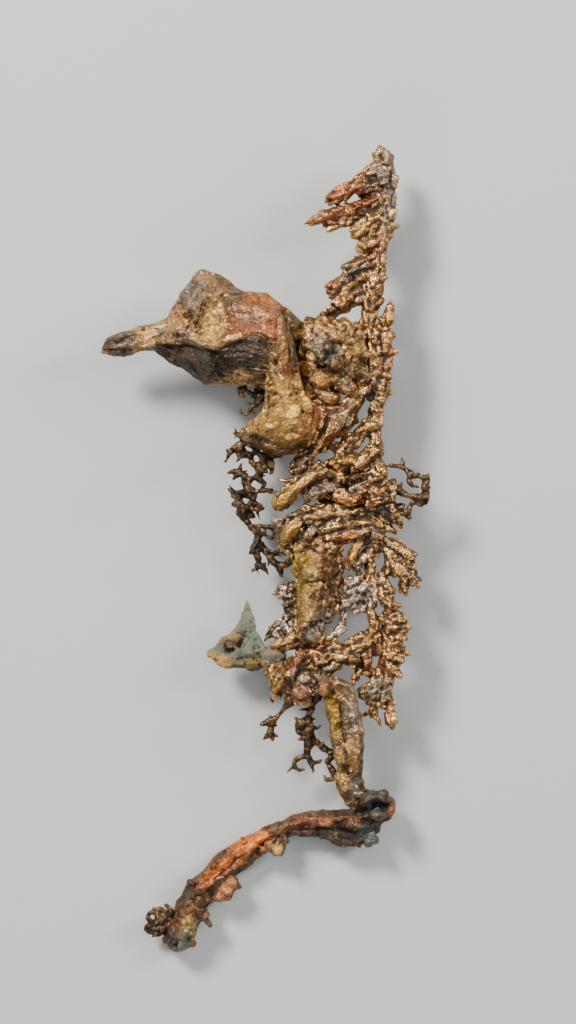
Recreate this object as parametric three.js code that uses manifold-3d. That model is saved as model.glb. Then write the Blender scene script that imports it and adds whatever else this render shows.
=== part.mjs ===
// Native copper, a branching natural growth: a heavy lobe with a beak-like prong, a tall
// spire, fern-like leaves of crystals, wiry sprays, and a leg that ends in a long foot.
//
// Millimetres. +Y runs up the spire, +X to the side the outer fingers point to, and +Z out
// of the face that shows. The growth lies on its back, on z = 0, and the origin is under the
// middle of its outline.
//
// Each branch is one solid, and neighbours part at the main forks. A branch is made of
// limbs, which run from station to station, of lumps, and of angular blocks. A station or a
// lump is [x, y, z, radius]. A block is the list of its corners.

import * as THREE from "three";
import { ConvexGeometry } from "three/addons/geometries/ConvexGeometry.js";
import { mergeVertices } from "three/addons/utils/BufferGeometryUtils.js";
import Module from "manifold-3d";

const wasm = await Module();
wasm.setup();

const FORK_GAP = 0.3; // clear space where two branches part
const LYING_PLANE = 0; // height of the surface that the back rests on
// a limb's sides, by the greatest radius that it reaches
const LIMB_SIDES = [
  { under: 1.15, sides: 3 },
  { under: 3, sides: 4 },
  { under: Infinity, sides: 6 },
];
const TIP_REACH = 0.9; // how far a station's end points stand out, in radii
const LUMP_UNEVENNESS = 0.16; // how far a lump's corners stray, in radii
const CORNER_GROWTH = 1.4; // a block's corners move this many margins for its faces to move one
const SAME_POINT = 1e-4; // corners this close are one

// ---------------------------------------------------------------- the growth's branches

const heavyLobe = {
  name: "heavy_lobe",
  finish: "massive_copper",
  blocks: [
    // crest, with its slanting left flank
    [[-12.4, 56.4, 13], [-13.9, 56, 11], [-16.3, 52.7, 12], [-19.8, 46.6, 12],
      [-15.2, 42.6, 20], [-9.4, 50.3, 21], [-10.4, 55.9, 15], [-8, 54.6, 14.5],
      [-4.4, 51.9, 15], [-10.2, 40.3, 23.5], [-14, 53, 6], [-18, 46, 6.5],
      [-7, 53, 6], [-3, 50, 4], [-14, 42, 5]],
    // cheek, which reaches back to the lying plane
    [[-9.4, 50.2, 21], [-6, 48, 22.6], [-4, 51.8, 15], [0.2, 51.7, 15],
      [2.7, 49.8, 15.5], [3.4, 46, 21.5], [5, 42, 21], [2.3, 38.6, 24],
      [-5, 42.4, 25], [-10.2, 40.3, 23.5], [-10, 50, 4], [2, 49.4, 4],
      [5, 42, 5], [-9, 38, LYING_PLANE], [3, 38, LYING_PLANE],
      [-8, 46.4, LYING_PLANE], [2, 46, LYING_PLANE]],
    // jaw, under the ledge
    [[-23, 40.6, 12], [-19, 37.8, 11], [-12.4, 33.5, 11.5], [-10.4, 34, 13],
      [-8.4, 35, 14], [-2, 33.3, 15], [0.6, 33.2, 17], [2.2, 38.8, 24],
      [-5, 42.3, 24.6], [-10.3, 40.2, 23.6], [-17, 41.9, 19], [-21.5, 42.5, 15.5],
      [-20, 39, 8], [-12, 36, 5], [-2, 35, 5], [-14, 42, 4]],
    // shoulder, running down to the knobby cluster
    [[2.5, 49.8, 14], [3.4, 49, 17], [7.6, 45.9, 15], [8.2, 45.4, 12],
      [4, 44, 19], [3, 45, 8], [7, 44, 8], [2, 48, 7]],
    // neck
    [[0.4, 33, 17], [0.8, 37.5, 21.5], [2.3, 38.8, 23.5], [4.5, 45.5, 20.5],
      [5.6, 41, 20], [5.6, 37, 21], [6.9, 34, 19.5], [6.9, 31, 19],
      [-0.4, 29.2, 17.5], [3, 34, 22.5], [0.5, 37, 4], [6, 38, 4],
      [6.5, 31, 4], [0, 30, 4], [5.5, 44, 6]],
    // breast
    [[-4.9, 24.1, 13], [-3, 26, 16.5], [-0.4, 29.2, 18], [3, 30.5, 22],
      [6.9, 31, 19.5], [10, 26.5, 16.5], [10.2, 24, 14.5], [9, 21.2, 13.5],
      [5, 19.5, 13], [2, 19.2, 12.5], [-1, 20.1, 12.5], [-4.3, 22.2, 12],
      [0.5, 25.2, 23.5], [6, 26, 23], [4, 22.4, 21], [-1.5, 22.6, 18],
      [8.5, 23.5, 19.5], [-3, 24, 6], [0, 29, 5], [8, 28, 4],
      [9, 23, 6], [0, 21, 6], [5, 20.5, 5]],
  ],
  limbs: [
    // beak-like prong
    [[-32.3, 40.6, 12, 0.9], [-31.2, 40.9, 12, 1.8], [-28.6, 41.8, 12.5, 2.6],
      [-25.5, 42.5, 13, 2.7], [-22, 43, 13.5, 3], [-18.5, 44, 13.5, 3.7], [-15, 45.5, 13, 4.6]],
  ],
};

const knobbyCluster = {
  name: "knobby_cluster",
  finish: "knobby_copper",
  blocks: [
    // what the knobs stand on
    [[8, 44, 8], [18, 44, 8], [20, 38, 8], [17, 33, 8], [9, 31, 8], [7, 37, 8],
      [9.5, 42, LYING_PLANE], [17, 42, LYING_PLANE], [16, 35, LYING_PLANE],
      [9.5, 34.5, LYING_PLANE], [12, 43, 13], [18, 38, 13], [9, 33, 13]],
  ],
  lumps: [
    [11, 44, 13, 3], [7.6, 44.4, 13.5, 2], [14.8, 44.4, 12, 2.3], [18, 43.8, 12, 2.4],
    [11, 40.8, 15, 3.1], [17.6, 40.4, 14.5, 3], [13.8, 37.8, 15.5, 2.6],
    [17.4, 36.2, 15, 2.6], [8.6, 37.8, 14, 2.5], [11.2, 34.4, 16, 2.9],
    [15.6, 33.4, 15, 2.5], [8.8, 31.8, 14, 2.4], [12.4, 31.2, 14, 2.6],
  ],
};

const spire = {
  name: "spire",
  finish: "beaded_copper",
  limbs: [
    [[20, 44.9, 11.5, 1.3], [20.6, 47, 11.5, 1.5], [20.9, 49.2, 11.5, 1.2],
      [21.6, 51.2, 11.5, 1.6], [21.8, 54, 11.5, 1.9], [22.6, 57.3, 11.5, 1.4],
      [22.5, 60.5, 11.2, 1.9], [22.8, 63, 11, 1.9], [23.7, 65.6, 11, 2.2],
      [24, 68.5, 10.8, 2], [24, 71.5, 10.5, 2.1], [23.8, 74.5, 10.2, 2.4],
      [23.4, 77.5, 10, 2.2], [23.3, 80, 9.8, 1.3], [23.2, 81.5, 9.7, 0.4]],
    // upper barb, and the web behind it
    [[22.5, 77, 10.5, 1.6], [19.8, 75, 11, 1.6], [17, 73, 11.5, 1.5],
      [14.4, 71.4, 12, 1.3], [12, 70.3, 12.3, 0.5]],
    [[22.5, 73.5, 10.5, 1.6], [20, 72.5, 11, 1.6], [18.6, 71.2, 11, 0.9]],
    // lower barb and its spur
    [[23, 71, 10.5, 1.5], [20.6, 69.3, 11.2, 1.8], [17.8, 68, 11.8, 1.6],
      [15.4, 67.2, 12, 1.4], [12.4, 67, 12.3, 2.1], [9.8, 66.7, 12.5, 1.4],
      [8.2, 66, 12.5, 0.5]],
    [[12.8, 66.5, 12, 1.4], [13.2, 64.6, 12, 0.6]],
    // two blunt clubs, and two small spurs on the other side
    [[22.5, 66, 12, 1.5], [19.6, 64.6, 13, 1.5], [17.8, 63.2, 13.3, 1.2]],
    [[22, 61, 12, 1.5], [19.6, 60.8, 12.5, 1.4], [18.5, 60.6, 12.5, 1.1]],
    [[24.3, 66, 11, 1], [25.4, 65.6, 11, 0.6]],
    [[22.8, 55.5, 11.5, 1], [24.2, 54.9, 11.5, 0.4]],
  ],
};

const sideLeaf = {
  name: "side_leaf",
  finish: "beaded_copper",
  limbs: [
    [[20.6, 56, 11, 1.2], [17.6, 53, 11, 1.3], [14.8, 50, 11, 1.1]],
    [[21, 57.6, 10.5, 1.2], [18.6, 57.6, 10.8, 1.5], [16.2, 56.6, 11, 1.1]],
    [[20.6, 55.6, 12, 1], [18, 54.2, 13, 1.2], [15.6, 52.4, 13.3, 1]],
    [[17.6, 54.6, 10.5, 1.4], [14.6, 53.6, 11, 1.7], [12.6, 52.4, 11, 1.1]],
    [[17.5, 52.5, 11, 1.3], [15.8, 50.9, 11.8, 1.9], [13.6, 48.6, 11.5, 1.4]],
    [[20.4, 51.4, 10.5, 1], [18, 50.2, 10.8, 1.3], [15.8, 48.9, 11, 1.1]],
    [[15, 48.6, 11, 1], [12.9, 47.6, 11.5, 1.1], [10.6, 47.4, 12, 0.4]],
  ],
};

const column = {
  name: "column",
  finish: "beaded_copper",
  limbs: [
    [[22.6, 45.6, 11.5, 1.3], [23, 43.2, 11.5, 2], [23, 40, 12, 2.3],
      [23.1, 37, 12, 2.3], [22.8, 34.4, 12, 2.1], [22.7, 32, 12, 1.8],
      [22.4, 29.6, 12, 1.3], [22, 27, 12.3, 1.4], [21.8, 24.5, 12.5, 1.5],
      [21.8, 21.6, 12.5, 1.5], [21.4, 19, 12.5, 1.9]],
    [[21.2, 42.6, 13, 1.3], [21, 40, 14, 1.4], [21, 37, 14, 1.4], [21.2, 34.8, 13.5, 1.3]],
    // bud that stands off the top
    [[22.8, 45, 11, 0.7], [23.4, 46.6, 11, 1], [24.4, 48.2, 11, 1.3], [24.8, 49.6, 11, 0.6]],
    // knobs down the outer side
    [[23.6, 39.6, 12, 1.2], [25, 39.4, 12, 0.5]],
    [[23.6, 37.4, 12, 1.2], [24.9, 37.2, 12, 0.6]],
    [[23.4, 34.9, 12, 1.2], [24.6, 34.7, 12, 0.5]],
    [[23.2, 32, 12, 1], [24.8, 31.8, 12, 0.4]],
    // rungs that lean in towards the breast
    [[21.6, 26, 13, 1.2], [19.6, 24.2, 13.5, 1.4], [17, 22.3, 13.5, 1.4],
      [15, 20.8, 13.5, 1], [14, 20.2, 13.5, 0.4]],
    [[21.4, 20.6, 13.5, 1.3], [18.6, 19, 14, 1.3], [15.6, 18.3, 14, 1.2],
      [12.9, 18.2, 13.8, 1.1]],
  ],
};

const innerBranch = {
  name: "inner_branch",
  finish: "beaded_copper",
  limbs: [
    [[20.2, 33.2, 13.5, 1.4], [18.2, 31, 14, 1.9], [16.6, 28.4, 14.5, 2.5],
      [14, 25.6, 14.5, 2.5], [11.8, 23, 14.5, 2.2], [10, 21.2, 14, 1.6]],
    [[17, 27, 14, 2], [17.3, 25.6, 13.5, 1.4]],
    [[14.6, 28, 13.5, 2.2], [12, 27.4, 13, 1.9]],
    [[11.8, 22, 13.5, 1.4], [13.4, 21.2, 13, 0.6]],
  ],
};

const upperFern = {
  name: "upper_fern",
  finish: "leafy_copper",
  limbs: [
    // stem
    [[21.8, 16.6, 12, 1.9], [22, 14.5, 12, 2.2], [22.3, 11.5, 12, 2.4], [22.6, 8.6, 11.5, 2.1]],
    [[22.5, 13.5, 12.5, 2], [24.6, 13.6, 12.5, 1.4], [25.4, 13.2, 12.5, 0.8]],
    [[22.8, 10.5, 12, 2], [24.8, 9.6, 12, 1.6], [25.6, 8, 12, 1.2]],
    // long leaf with the blunt gold end
    [[14.5, 15.4, 13.5, 1.5], [12, 16, 14.5, 1.6], [9.6, 15.6, 15.5, 1.7],
      [7.4, 14, 16, 1.5], [5.4, 12.4, 16, 1.4], [3.4, 10.6, 16, 1.7], [2.2, 9.6, 15.8, 1.2]],
    // shorter leaves
    [[9.4, 17.9, 12, 1.3], [8, 17.6, 12.5, 1.5], [6.4, 16.8, 12.5, 1.4], [5.4, 15.6, 12.5, 0.7]],
    [[8.6, 17.4, 12.8, 1.2], [9.6, 16, 13.8, 1.3]],
    [[15, 13.8, 14, 1.2], [12.8, 13, 15, 1.4], [10.4, 12, 15.3, 1.5], [8.6, 11, 15, 0.9]],
    [[21.5, 14.6, 13.5, 1.3], [19, 13.2, 14.5, 1.5], [16.6, 12.4, 14.5, 1.1]],
    [[20.6, 16, 13, 1.2], [18, 15.2, 14, 1.1], [16.4, 14.4, 14, 0.7]],
    [[19, 11.6, 14, 1.4], [16.4, 10.9, 15, 1.5], [14, 11.6, 15, 1.2]],
    [[17.2, 14.6, 13, 1.4], [15, 14.8, 14.3, 1.5]],
    // the thicket behind them
    [[21.5, 12.4, 10, 2.4], [16, 13, 10, 2.6], [11.5, 13.5, 10.8, 2]],
    [[21.5, 10, 10, 2.2], [15.4, 10.4, 10, 2.4], [10.8, 11.4, 11.5, 1.8]],
    [[15, 13.4, 11, 1.8], [12.6, 15, 13, 1.6]],
  ],
};

const lowerFern = {
  name: "lower_fern",
  finish: "leafy_copper",
  limbs: [
    // stem
    [[22, 5.6, 12, 1.6], [21, 4, 12, 2], [19, 2.4, 12, 1.7]],
    // leaves, from the top one down
    [[19.6, 7.6, 13.5, 1.1], [16.4, 7.7, 14.5, 1.4], [13, 7.9, 15, 1.5],
      [10.6, 7.6, 15.5, 1.5], [9, 7, 15, 1]],
    [[9.6, 8.4, 13.5, 1.1], [7, 8.1, 13.5, 1.1], [4.4, 7.4, 13.3, 0.9], [2, 6.2, 13, 0.5]],
    [[8.4, 7.6, 13, 1.1], [6.4, 6.2, 14, 1.6], [4.8, 4.4, 14.5, 1.9], [3.4, 3, 14, 1.3]],
    [[10.8, 6.2, 13.5, 1.2], [9, 4.2, 14.5, 1.5], [7.6, 2.8, 14.5, 1.1]],
    [[20.6, 6, 13.5, 1.3], [17.4, 5.8, 14.8, 1.3], [14.2, 5.2, 15.3, 1.3], [11.4, 4.5, 15, 0.9]],
    [[20.2, 4.2, 13.5, 1.5], [17, 3.6, 14.8, 1.5], [14, 3.2, 15.2, 1.3], [11.8, 2.6, 14.8, 0.8]],
    // the one that points out, and the one that hangs
    [[21.6, 5.4, 13, 1.3], [24, 5, 13, 1.2], [25.6, 4.3, 13, 0.8]],
    [[19.6, 2.8, 13, 1.4], [17.9, 0.8, 14, 1.2], [17.2, -1.4, 14, 1], [17, -2.6, 13.5, 0.5]],
    // the thicket behind them
    [[20, 4.6, 10.5, 2.2], [14.5, 5.6, 10, 2.4], [9.5, 6, 10.6, 2]],
    [[14.5, 5.6, 11, 1.8], [13.4, 6.4, 14, 1.4]],
    [[9.5, 6, 11, 1.6], [9.4, 6.4, 14, 1.3]],
  ],
};

const outerCurls = {
  name: "outer_curls",
  finish: "wiry_copper",
  limbs: [
    [[26.8, 12.4, 12, 0.9], [28, 11.6, 12.3, 0.7], [29.6, 11, 12.5, 0.7],
      [31.2, 10.9, 12.5, 0.9], [32.4, 11.4, 12.5, 0.9]],
    [[32.2, 11.2, 12.5, 0.8], [32.1, 12.8, 12.8, 0.7], [32.7, 14.2, 13, 0.8],
      [32, 15.2, 13, 0.7], [30.4, 15.5, 13, 0.6], [28.8, 16.2, 13, 0.6],
      [27, 17.2, 13, 0.5], [25.4, 17.3, 13, 0.5], [23.9, 17.4, 13, 0.35]],
    [[26.8, 17.3, 13, 0.5], [27, 18.6, 13, 0.3]],
    [[29.4, 15.6, 13, 0.6], [29, 14.2, 13, 0.6], [30, 13.2, 13, 0.5]],
    [[30, 10.8, 12.4, 0.6], [28.7, 9.2, 12.3, 0.5], [28.2, 8.2, 12.2, 0.7], [27.5, 7.8, 12, 0.7]],
    [[27.6, 7.9, 12, 0.7], [26.9, 6.9, 12, 0.7], [27.4, 5.4, 12, 0.35]],
  ],
};

const outerFingers = {
  name: "outer_fingers",
  finish: "fingered_copper",
  limbs: [
    // stem
    [[23.2, 2.6, 11.5, 1.1], [24, 1.2, 11.5, 1.5], [24.6, -0.6, 11.5, 1.3], [24.9, -2.4, 11.5, 1.2]],
    // fingers
    [[24, 2.4, 12, 0.8], [26, 2.7, 12, 0.6], [27, 2.6, 12, 0.3]],
    [[24.4, 1.4, 12, 1.2], [26.8, 0.6, 12.5, 1.3], [28.8, -0.8, 12.5, 1.1], [29.6, -1.5, 12.5, 0.6]],
    [[24.6, -0.4, 12, 1.2], [26.4, -0.6, 12, 1]],
    [[25, -2.6, 12, 1.4], [27, -3.6, 12.5, 1.9], [28.6, -4.6, 12.5, 1.4], [29.8, -6.4, 12.5, 0.9]],
    [[27, -3.4, 12.5, 1.4], [27.4, -5.6, 12.8, 1.1], [27.8, -8, 12.8, 0.8]],
    [[27.6, -3.2, 12.5, 1.2], [29.8, -3.6, 12.5, 0.6]],
    [[26, -3.2, 12.5, 1.3], [25.8, -5, 12.5, 0.7]],
    [[24.6, -2.4, 11.5, 0.9], [23.8, -4, 11.5, 0.9], [24.2, -6.4, 11.8, 1.2], [25.3, -8.6, 12, 0.8]],
    [[23.8, -4.6, 11, 0.9], [23.2, -7, 11, 1.1], [24.4, -9.4, 11, 1.1], [26.8, -10.6, 11, 0.7]],
  ],
};

const greyCluster = {
  name: "grey_cluster",
  finish: "silvery_copper",
  limbs: [
    [[20.8, 0.2, 11.5, 1], [20.8, -2.6, 11.5, 0.9], [20.6, -5.2, 11.5, 1],
      [20.6, -8, 11.3, 1.3], [20.8, -10.2, 11.2, 1.1]],
    [[20.4, -3, 11, 1.1], [18.9, -2.2, 11.5, 1.5], [18.4, -0.6, 11, 0.9]],
    [[20.6, -5.6, 11, 1.2], [18.8, -5.8, 11.5, 1.4], [16.8, -5.8, 12, 1.9], [15.8, -6.8, 11.5, 1.2]],
    [[20.6, -8.8, 11, 1.2], [18.6, -9.2, 11.5, 1.5], [16.6, -9.6, 11.8, 1.9], [15, -10.4, 11.5, 1.2]],
    [[16.4, -6.8, 11.5, 1.3], [16.2, -9.4, 11.5, 1.3]],
    [[17, -10.4, 11, 1], [18.8, -12, 11.5, 0.35]],
    [[20.4, -9.8, 11, 1.1], [19.6, -11.2, 11, 0.9]],
    [[15.4, -10.8, 11, 1], [15.7, -13, 10.5, 0.9], [15.6, -14.8, 10.5, 1.2],
      [13.8, -16.4, 10.5, 1.3], [12.8, -17.2, 10.5, 1.1]],
  ],
};

const centralRib = {
  name: "central_rib",
  finish: "gritty_copper",
  blocks: [
    [[6, 0.4, 13], [8.4, 1.2, 14], [12, 1.4, 13.5], [15.2, 0.8, 12],
      [15, -4, 13], [14.6, -7, 13.5], [6, -5.4, 13.5], [5.7, -2, 13],
      [7.4, -3, 17], [11, -1, 17], [11, -5, 17.5], [7.4, -6, 16],
      [7, 0, 5], [14, 0, 5], [14, -6, 5], [7, -6, 5]],
    [[6, -5.2, 13.5], [7, -8, 14], [5.6, -13, 13], [8, -14, 16],
      [12.6, -13.4, 13], [14.2, -10, 13], [14.7, -6, 13.5], [11, -6, 17.4],
      [10, -11, 16.8], [7.6, -6, 16], [7, -7, 5], [13.5, -8, 5],
      [12, -13, 5], [6.5, -13, 5]],
    [[5.2, -13.5, 12.5], [8, -13.5, 15.5], [11.5, -14, 12.5], [10.8, -17.4, 12.5],
      [8.2, -18.6, 13.5], [5.4, -17.4, 12.5], [6.4, -17, 15.5], [6, -14, 5],
      [11, -14, 5], [9, -17.6, 6], [6, -17.4, 6]],
  ],
  lumps: [[9.2, -16.4, 14, 2.2]],
  limbs: [[[6.2, -16.4, 13, 1.5], [3.6, -17.6, 13, 1.4], [1.4, -18.6, 12.8, 1.1]]],
};

const pearlCluster = {
  name: "pearl_cluster",
  finish: "pearly_copper",
  limbs: [
    [[6.6, -7.8, 9.5, 1.2], [4.6, -7.8, 10, 1.9], [2.6, -7.6, 10, 1.4]],
    [[4.8, -8, 10, 1.8], [4.2, -10, 10, 1.3], [4.2, -11.6, 10, 1], [3.6, -13, 10, 1],
      [3, -15, 10, 1.5]],
    [[4.6, -15.2, 9.8, 1.2], [3, -15.4, 10, 1.7], [1, -16.4, 10, 1.3], [0, -17.4, 9.8, 0.7]],
  ],
};

const greenLobe = {
  name: "green_lobe",
  finish: "green_crust",
  blocks: [
    [[-3.8, -9.4, 10], [-3.2, -11.5, 11], [-4.9, -12.6, 10.5], [-2.2, -14.6, 11.6],
      [-1.8, -16.6, 12], [-6.4, -16.4, 11.5], [-5, -19, 12.5], [-4, -12, 7],
      [-3, -16, 6.5], [-6, -16.5, 6.5]],
    [[-6.6, -15.8, 11.4], [-1.9, -16.2, 12.2], [-0.4, -19.2, 12.4], [-1.6, -23.6, 10.5],
      [-6, -23, 10.5], [-9.6, -22.8, 9.5], [-11.8, -20.6, 9], [-9, -17.6, 10.5],
      [-4, -20, 13], [-6, -17, 6], [-2, -18, 6], [-2, -22.6, 5.5],
      [-9, -22, 5.5], [-10.6, -20, 6]],
    [[-0.8, -19.2, 12.3], [0.6, -20.2, 12], [3.7, -20.3, 11.6], [4, -21.6, 11.2],
      [1, -22.1, 11], [-1.4, -23.4, 10.6], [0, -20.4, 6.5], [3.6, -20.6, 6.5],
      [3.4, -21.4, 6.5], [-1, -22.5, 6]],
  ],
  limbs: [
    [[-5, -17, 12, 0.9], [-6.8, -16.8, 12.3, 1.1]],
    [[-6, -18, 12, 1], [-7.8, -18.8, 11.5, 0.8]],
  ],
};

const hip = {
  name: "hip",
  finish: "massive_copper",
  blocks: [
    [[0.4, -22.9, 11], [3.6, -22, 12], [6.6, -20.2, 13], [8.4, -21.5, 13],
      [8.6, -25, 13.5], [6, -27.5, 14], [3.4, -27.6, 12.5], [1.6, -28.8, 11],
      [0.7, -27, 11], [0.1, -25, 11], [4.6, -24, 15], [1.5, -23, 6],
      [7, -22, 6], [7.5, -26.5, 6], [2.2, -27.5, 6]],
  ],
  lumps: [[7, -27.6, 14, 2.4], [7.6, -25, 14.5, 1.7]],
  limbs: [
    // folded ridge down its face
    [[7.4, -20, 14, 0.9], [6.4, -21.6, 15, 1], [4.4, -24.4, 15.4, 1.1], [2, -27.8, 13, 0.7]],
    [[7.6, -24.4, 11.5, 2], [10, -25.4, 11.5, 2]],
  ],
};

const leg = {
  name: "leg",
  finish: "massive_copper",
  lumps: [[12, -27, 15.2, 1.8]],
  limbs: [
    [[12.4, -26.8, 13.2, 2.2], [14.8, -28.2, 12.8, 3.4], [15.2, -31.4, 12.3, 3.2],
      [16.2, -35.4, 11.4, 3.6], [16.5, -39.4, 10.4, 3.2], [17, -43.4, 9.2, 2.6],
      [16.8, -47, 7.9, 2.7], [17.8, -49.8, 6.8, 2.4]],
  ],
};

const foot = {
  name: "foot",
  finish: "rusty_copper",
  lumps: [
    [2.4, -60, 4.6, 2.1], // square crystal on the front
    [-8.6, -68.8, 4.6, 2.2], // bright crystals beside the shin
    [19.8, -58, 2.2, 1.8],
  ],
  limbs: [
    // knob at the joint
    [[19.8, -53.4, 5.4, 2.6], [21.8, -50.6, 5.4, 2.9], [24, -51.6, 5, 2.5], [24.2, -53.4, 4.4, 2]],
    // bar, bend and long end
    [[22.4, -54.2, 4.2, 2.6], [19.4, -55.4, 3.8, 3.7], [15, -55.4, 3.3, 3.5],
      [10.6, -55.2, 3.3, 3.1], [7, -55.4, 3.4, 2.8], [4, -56.2, 3.4, 2.3],
      [1, -57.4, 3.4, 2.5], [-3, -60, 3.3, 2.8], [-7, -62.8, 3.1, 3.1],
      [-11, -66.4, 3.1, 3.2], [-14.6, -70.6, 3.1, 3.2], [-17, -74.6, 2.9, 3.2],
      [-18.2, -78.2, 2.8, 3.2], [-18, -80.2, 2.7, 1.8]],
    // prong at the heel end
    [[-15.6, -74, 4, 1.8], [-13, -73.6, 4.5, 1.5], [-11.8, -74.6, 4.2, 0.7]],
  ],
};

const toeSpray = {
  name: "toe_spray",
  finish: "dark_wiry_copper",
  limbs: [
    [[-21, -75, 4, 1], [-22.2, -74.6, 4.5, 0.8], [-23.6, -75.4, 4.5, 0.6], [-23.4, -76.8, 4.5, 0.4]],
    [[-20.8, -74.6, 4, 0.9], [-21.2, -72.8, 4.5, 0.7], [-23, -72.8, 4.8, 0.6],
      [-23.9, -73.2, 4.8, 0.35]],
    [[-22.2, -74.6, 4.5, 0.7], [-22.6, -73, 4.8, 0.6]],
    [[-21.4, -75.4, 4, 0.8], [-22, -77, 4.2, 0.6]],
  ],
};

const leftTwig = {
  name: "left_twig",
  finish: "wiry_copper",
  limbs: [
    [[4.6, -29.4, 10.5, 1], [4.4, -30.8, 10.3, 1], [3, -32.6, 10, 0.7], [1.6, -33.6, 9.8, 0.9],
      [0.8, -34.6, 9.6, 1.6], [0.9, -36.4, 9.4, 1]],
    [[0.6, -34.4, 9.6, 1], [-0.8, -34.8, 9.5, 0.35]],
    [[0.9, -36.4, 9.4, 0.8], [-0.4, -37.5, 9.3, 0.35]],
    [[1, -36.2, 9.4, 0.8], [2, -37.2, 9.3, 0.35]],
  ],
};

const middleTwig = {
  name: "middle_twig",
  finish: "wiry_copper",
  limbs: [
    [[9.6, -29.4, 10.5, 1], [9.2, -31.2, 10, 0.8], [8.5, -33.4, 9.5, 0.8],
      [8.9, -35.6, 9, 1.1], [8.7, -37.6, 8.5, 1], [8.4, -39.8, 8, 0.9],
      [7.4, -41.4, 7.5, 0.8], [5.8, -41.8, 7, 0.8], [5.6, -43, 6.8, 0.6],
      [7.2, -44.1, 6.6, 0.4]],
    [[8.6, -35, 9.3, 1], [6.9, -34.4, 9.4, 1.6]],
    [[9, -37.4, 8.5, 0.8], [10.6, -39.2, 8, 0.6], [12, -40, 7.6, 0.7], [12.6, -41.4, 7.2, 0.7],
      [12.4, -42.8, 7, 0.7], [12.8, -44.2, 6.8, 0.8], [12, -45.8, 6.6, 0.4]],
    [[8.6, -40.6, 7.8, 0.6], [9.4, -42.6, 7.6, 0.5], [9.4, -44.3, 7.5, 0.3]],
  ],
};

const lowerArm = {
  name: "lower_arm",
  finish: "beaded_copper",
  limbs: [
    [[9.4, -21.6, 11, 1.7], [11, -20.8, 11.5, 2.2], [13.6, -20.8, 12, 2.1],
      [16.8, -20, 12, 2.2], [19.8, -18.8, 12, 2.2], [21.6, -17, 12, 1.8]],
    [[20.8, -12.6, 11, 1.1], [21.4, -14.4, 11.5, 1.4], [21.6, -17.4, 12, 1.6],
      [20.4, -21, 11.5, 1.6], [20.2, -22.8, 11, 1.2]],
    [[19, -21.8, 10.5, 1], [18.2, -23.8, 10.5, 0.8], [17.8, -24.8, 10.3, 0.7]],
  ],
};

const outerCob = {
  name: "outer_cob",
  finish: "beaded_copper",
  limbs: [
    [[24.6, -12.6, 11, 1.3], [25.4, -14.6, 11, 1.9], [25.6, -17.4, 11, 2.1],
      [25.4, -20.2, 11, 2.1], [25, -23, 10.8, 1.7], [24.4, -26, 10.5, 1.6],
      [24.4, -29, 10.3, 1.4], [24.8, -31.6, 10, 1.4], [25.3, -34, 9.8, 1.3],
      [25.4, -34.8, 9.8, 0.6]],
    [[23.8, -13.4, 11.3, 1], [25.4, -13, 11.5, 1.6], [27.4, -13.4, 11.5, 1]],
    // short fingers down the outer side
    [[25.6, -15, 11, 1.2], [28, -15.6, 11, 0.6]],
    [[25.8, -17, 11, 1.2], [28.3, -17.4, 11, 0.5]],
    [[26, -19.6, 11, 1.4], [28.6, -20.6, 11, 0.8]],
    [[26, -21.4, 11, 1.2], [27.4, -22, 11, 0.6]],
    [[25, -23.6, 11, 1.2], [26.6, -24, 11, 0.6]],
    // inner string, which rejoins the cob lower down
    [[24.6, -19.4, 11, 1.6], [23.2, -20.8, 11, 1], [22.7, -23.2, 10.8, 1.1],
      [22.4, -25.6, 10.5, 1.4], [21.2, -27.6, 10.3, 1.5], [19.8, -29, 10.2, 0.8]],
    [[21.4, -28, 10.3, 1.3], [22.4, -30.4, 10.2, 1.1], [24.4, -31.2, 10.2, 1]],
    [[21.8, -30.4, 10, 0.7], [20.4, -32.1, 9.8, 0.45], [18.9, -32.3, 9.7, 0.35]],
    [[22, -30.8, 10, 0.7], [22.3, -33.2, 9.8, 0.8], [22.9, -34.8, 9.7, 0.3]],
  ],
};

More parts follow.
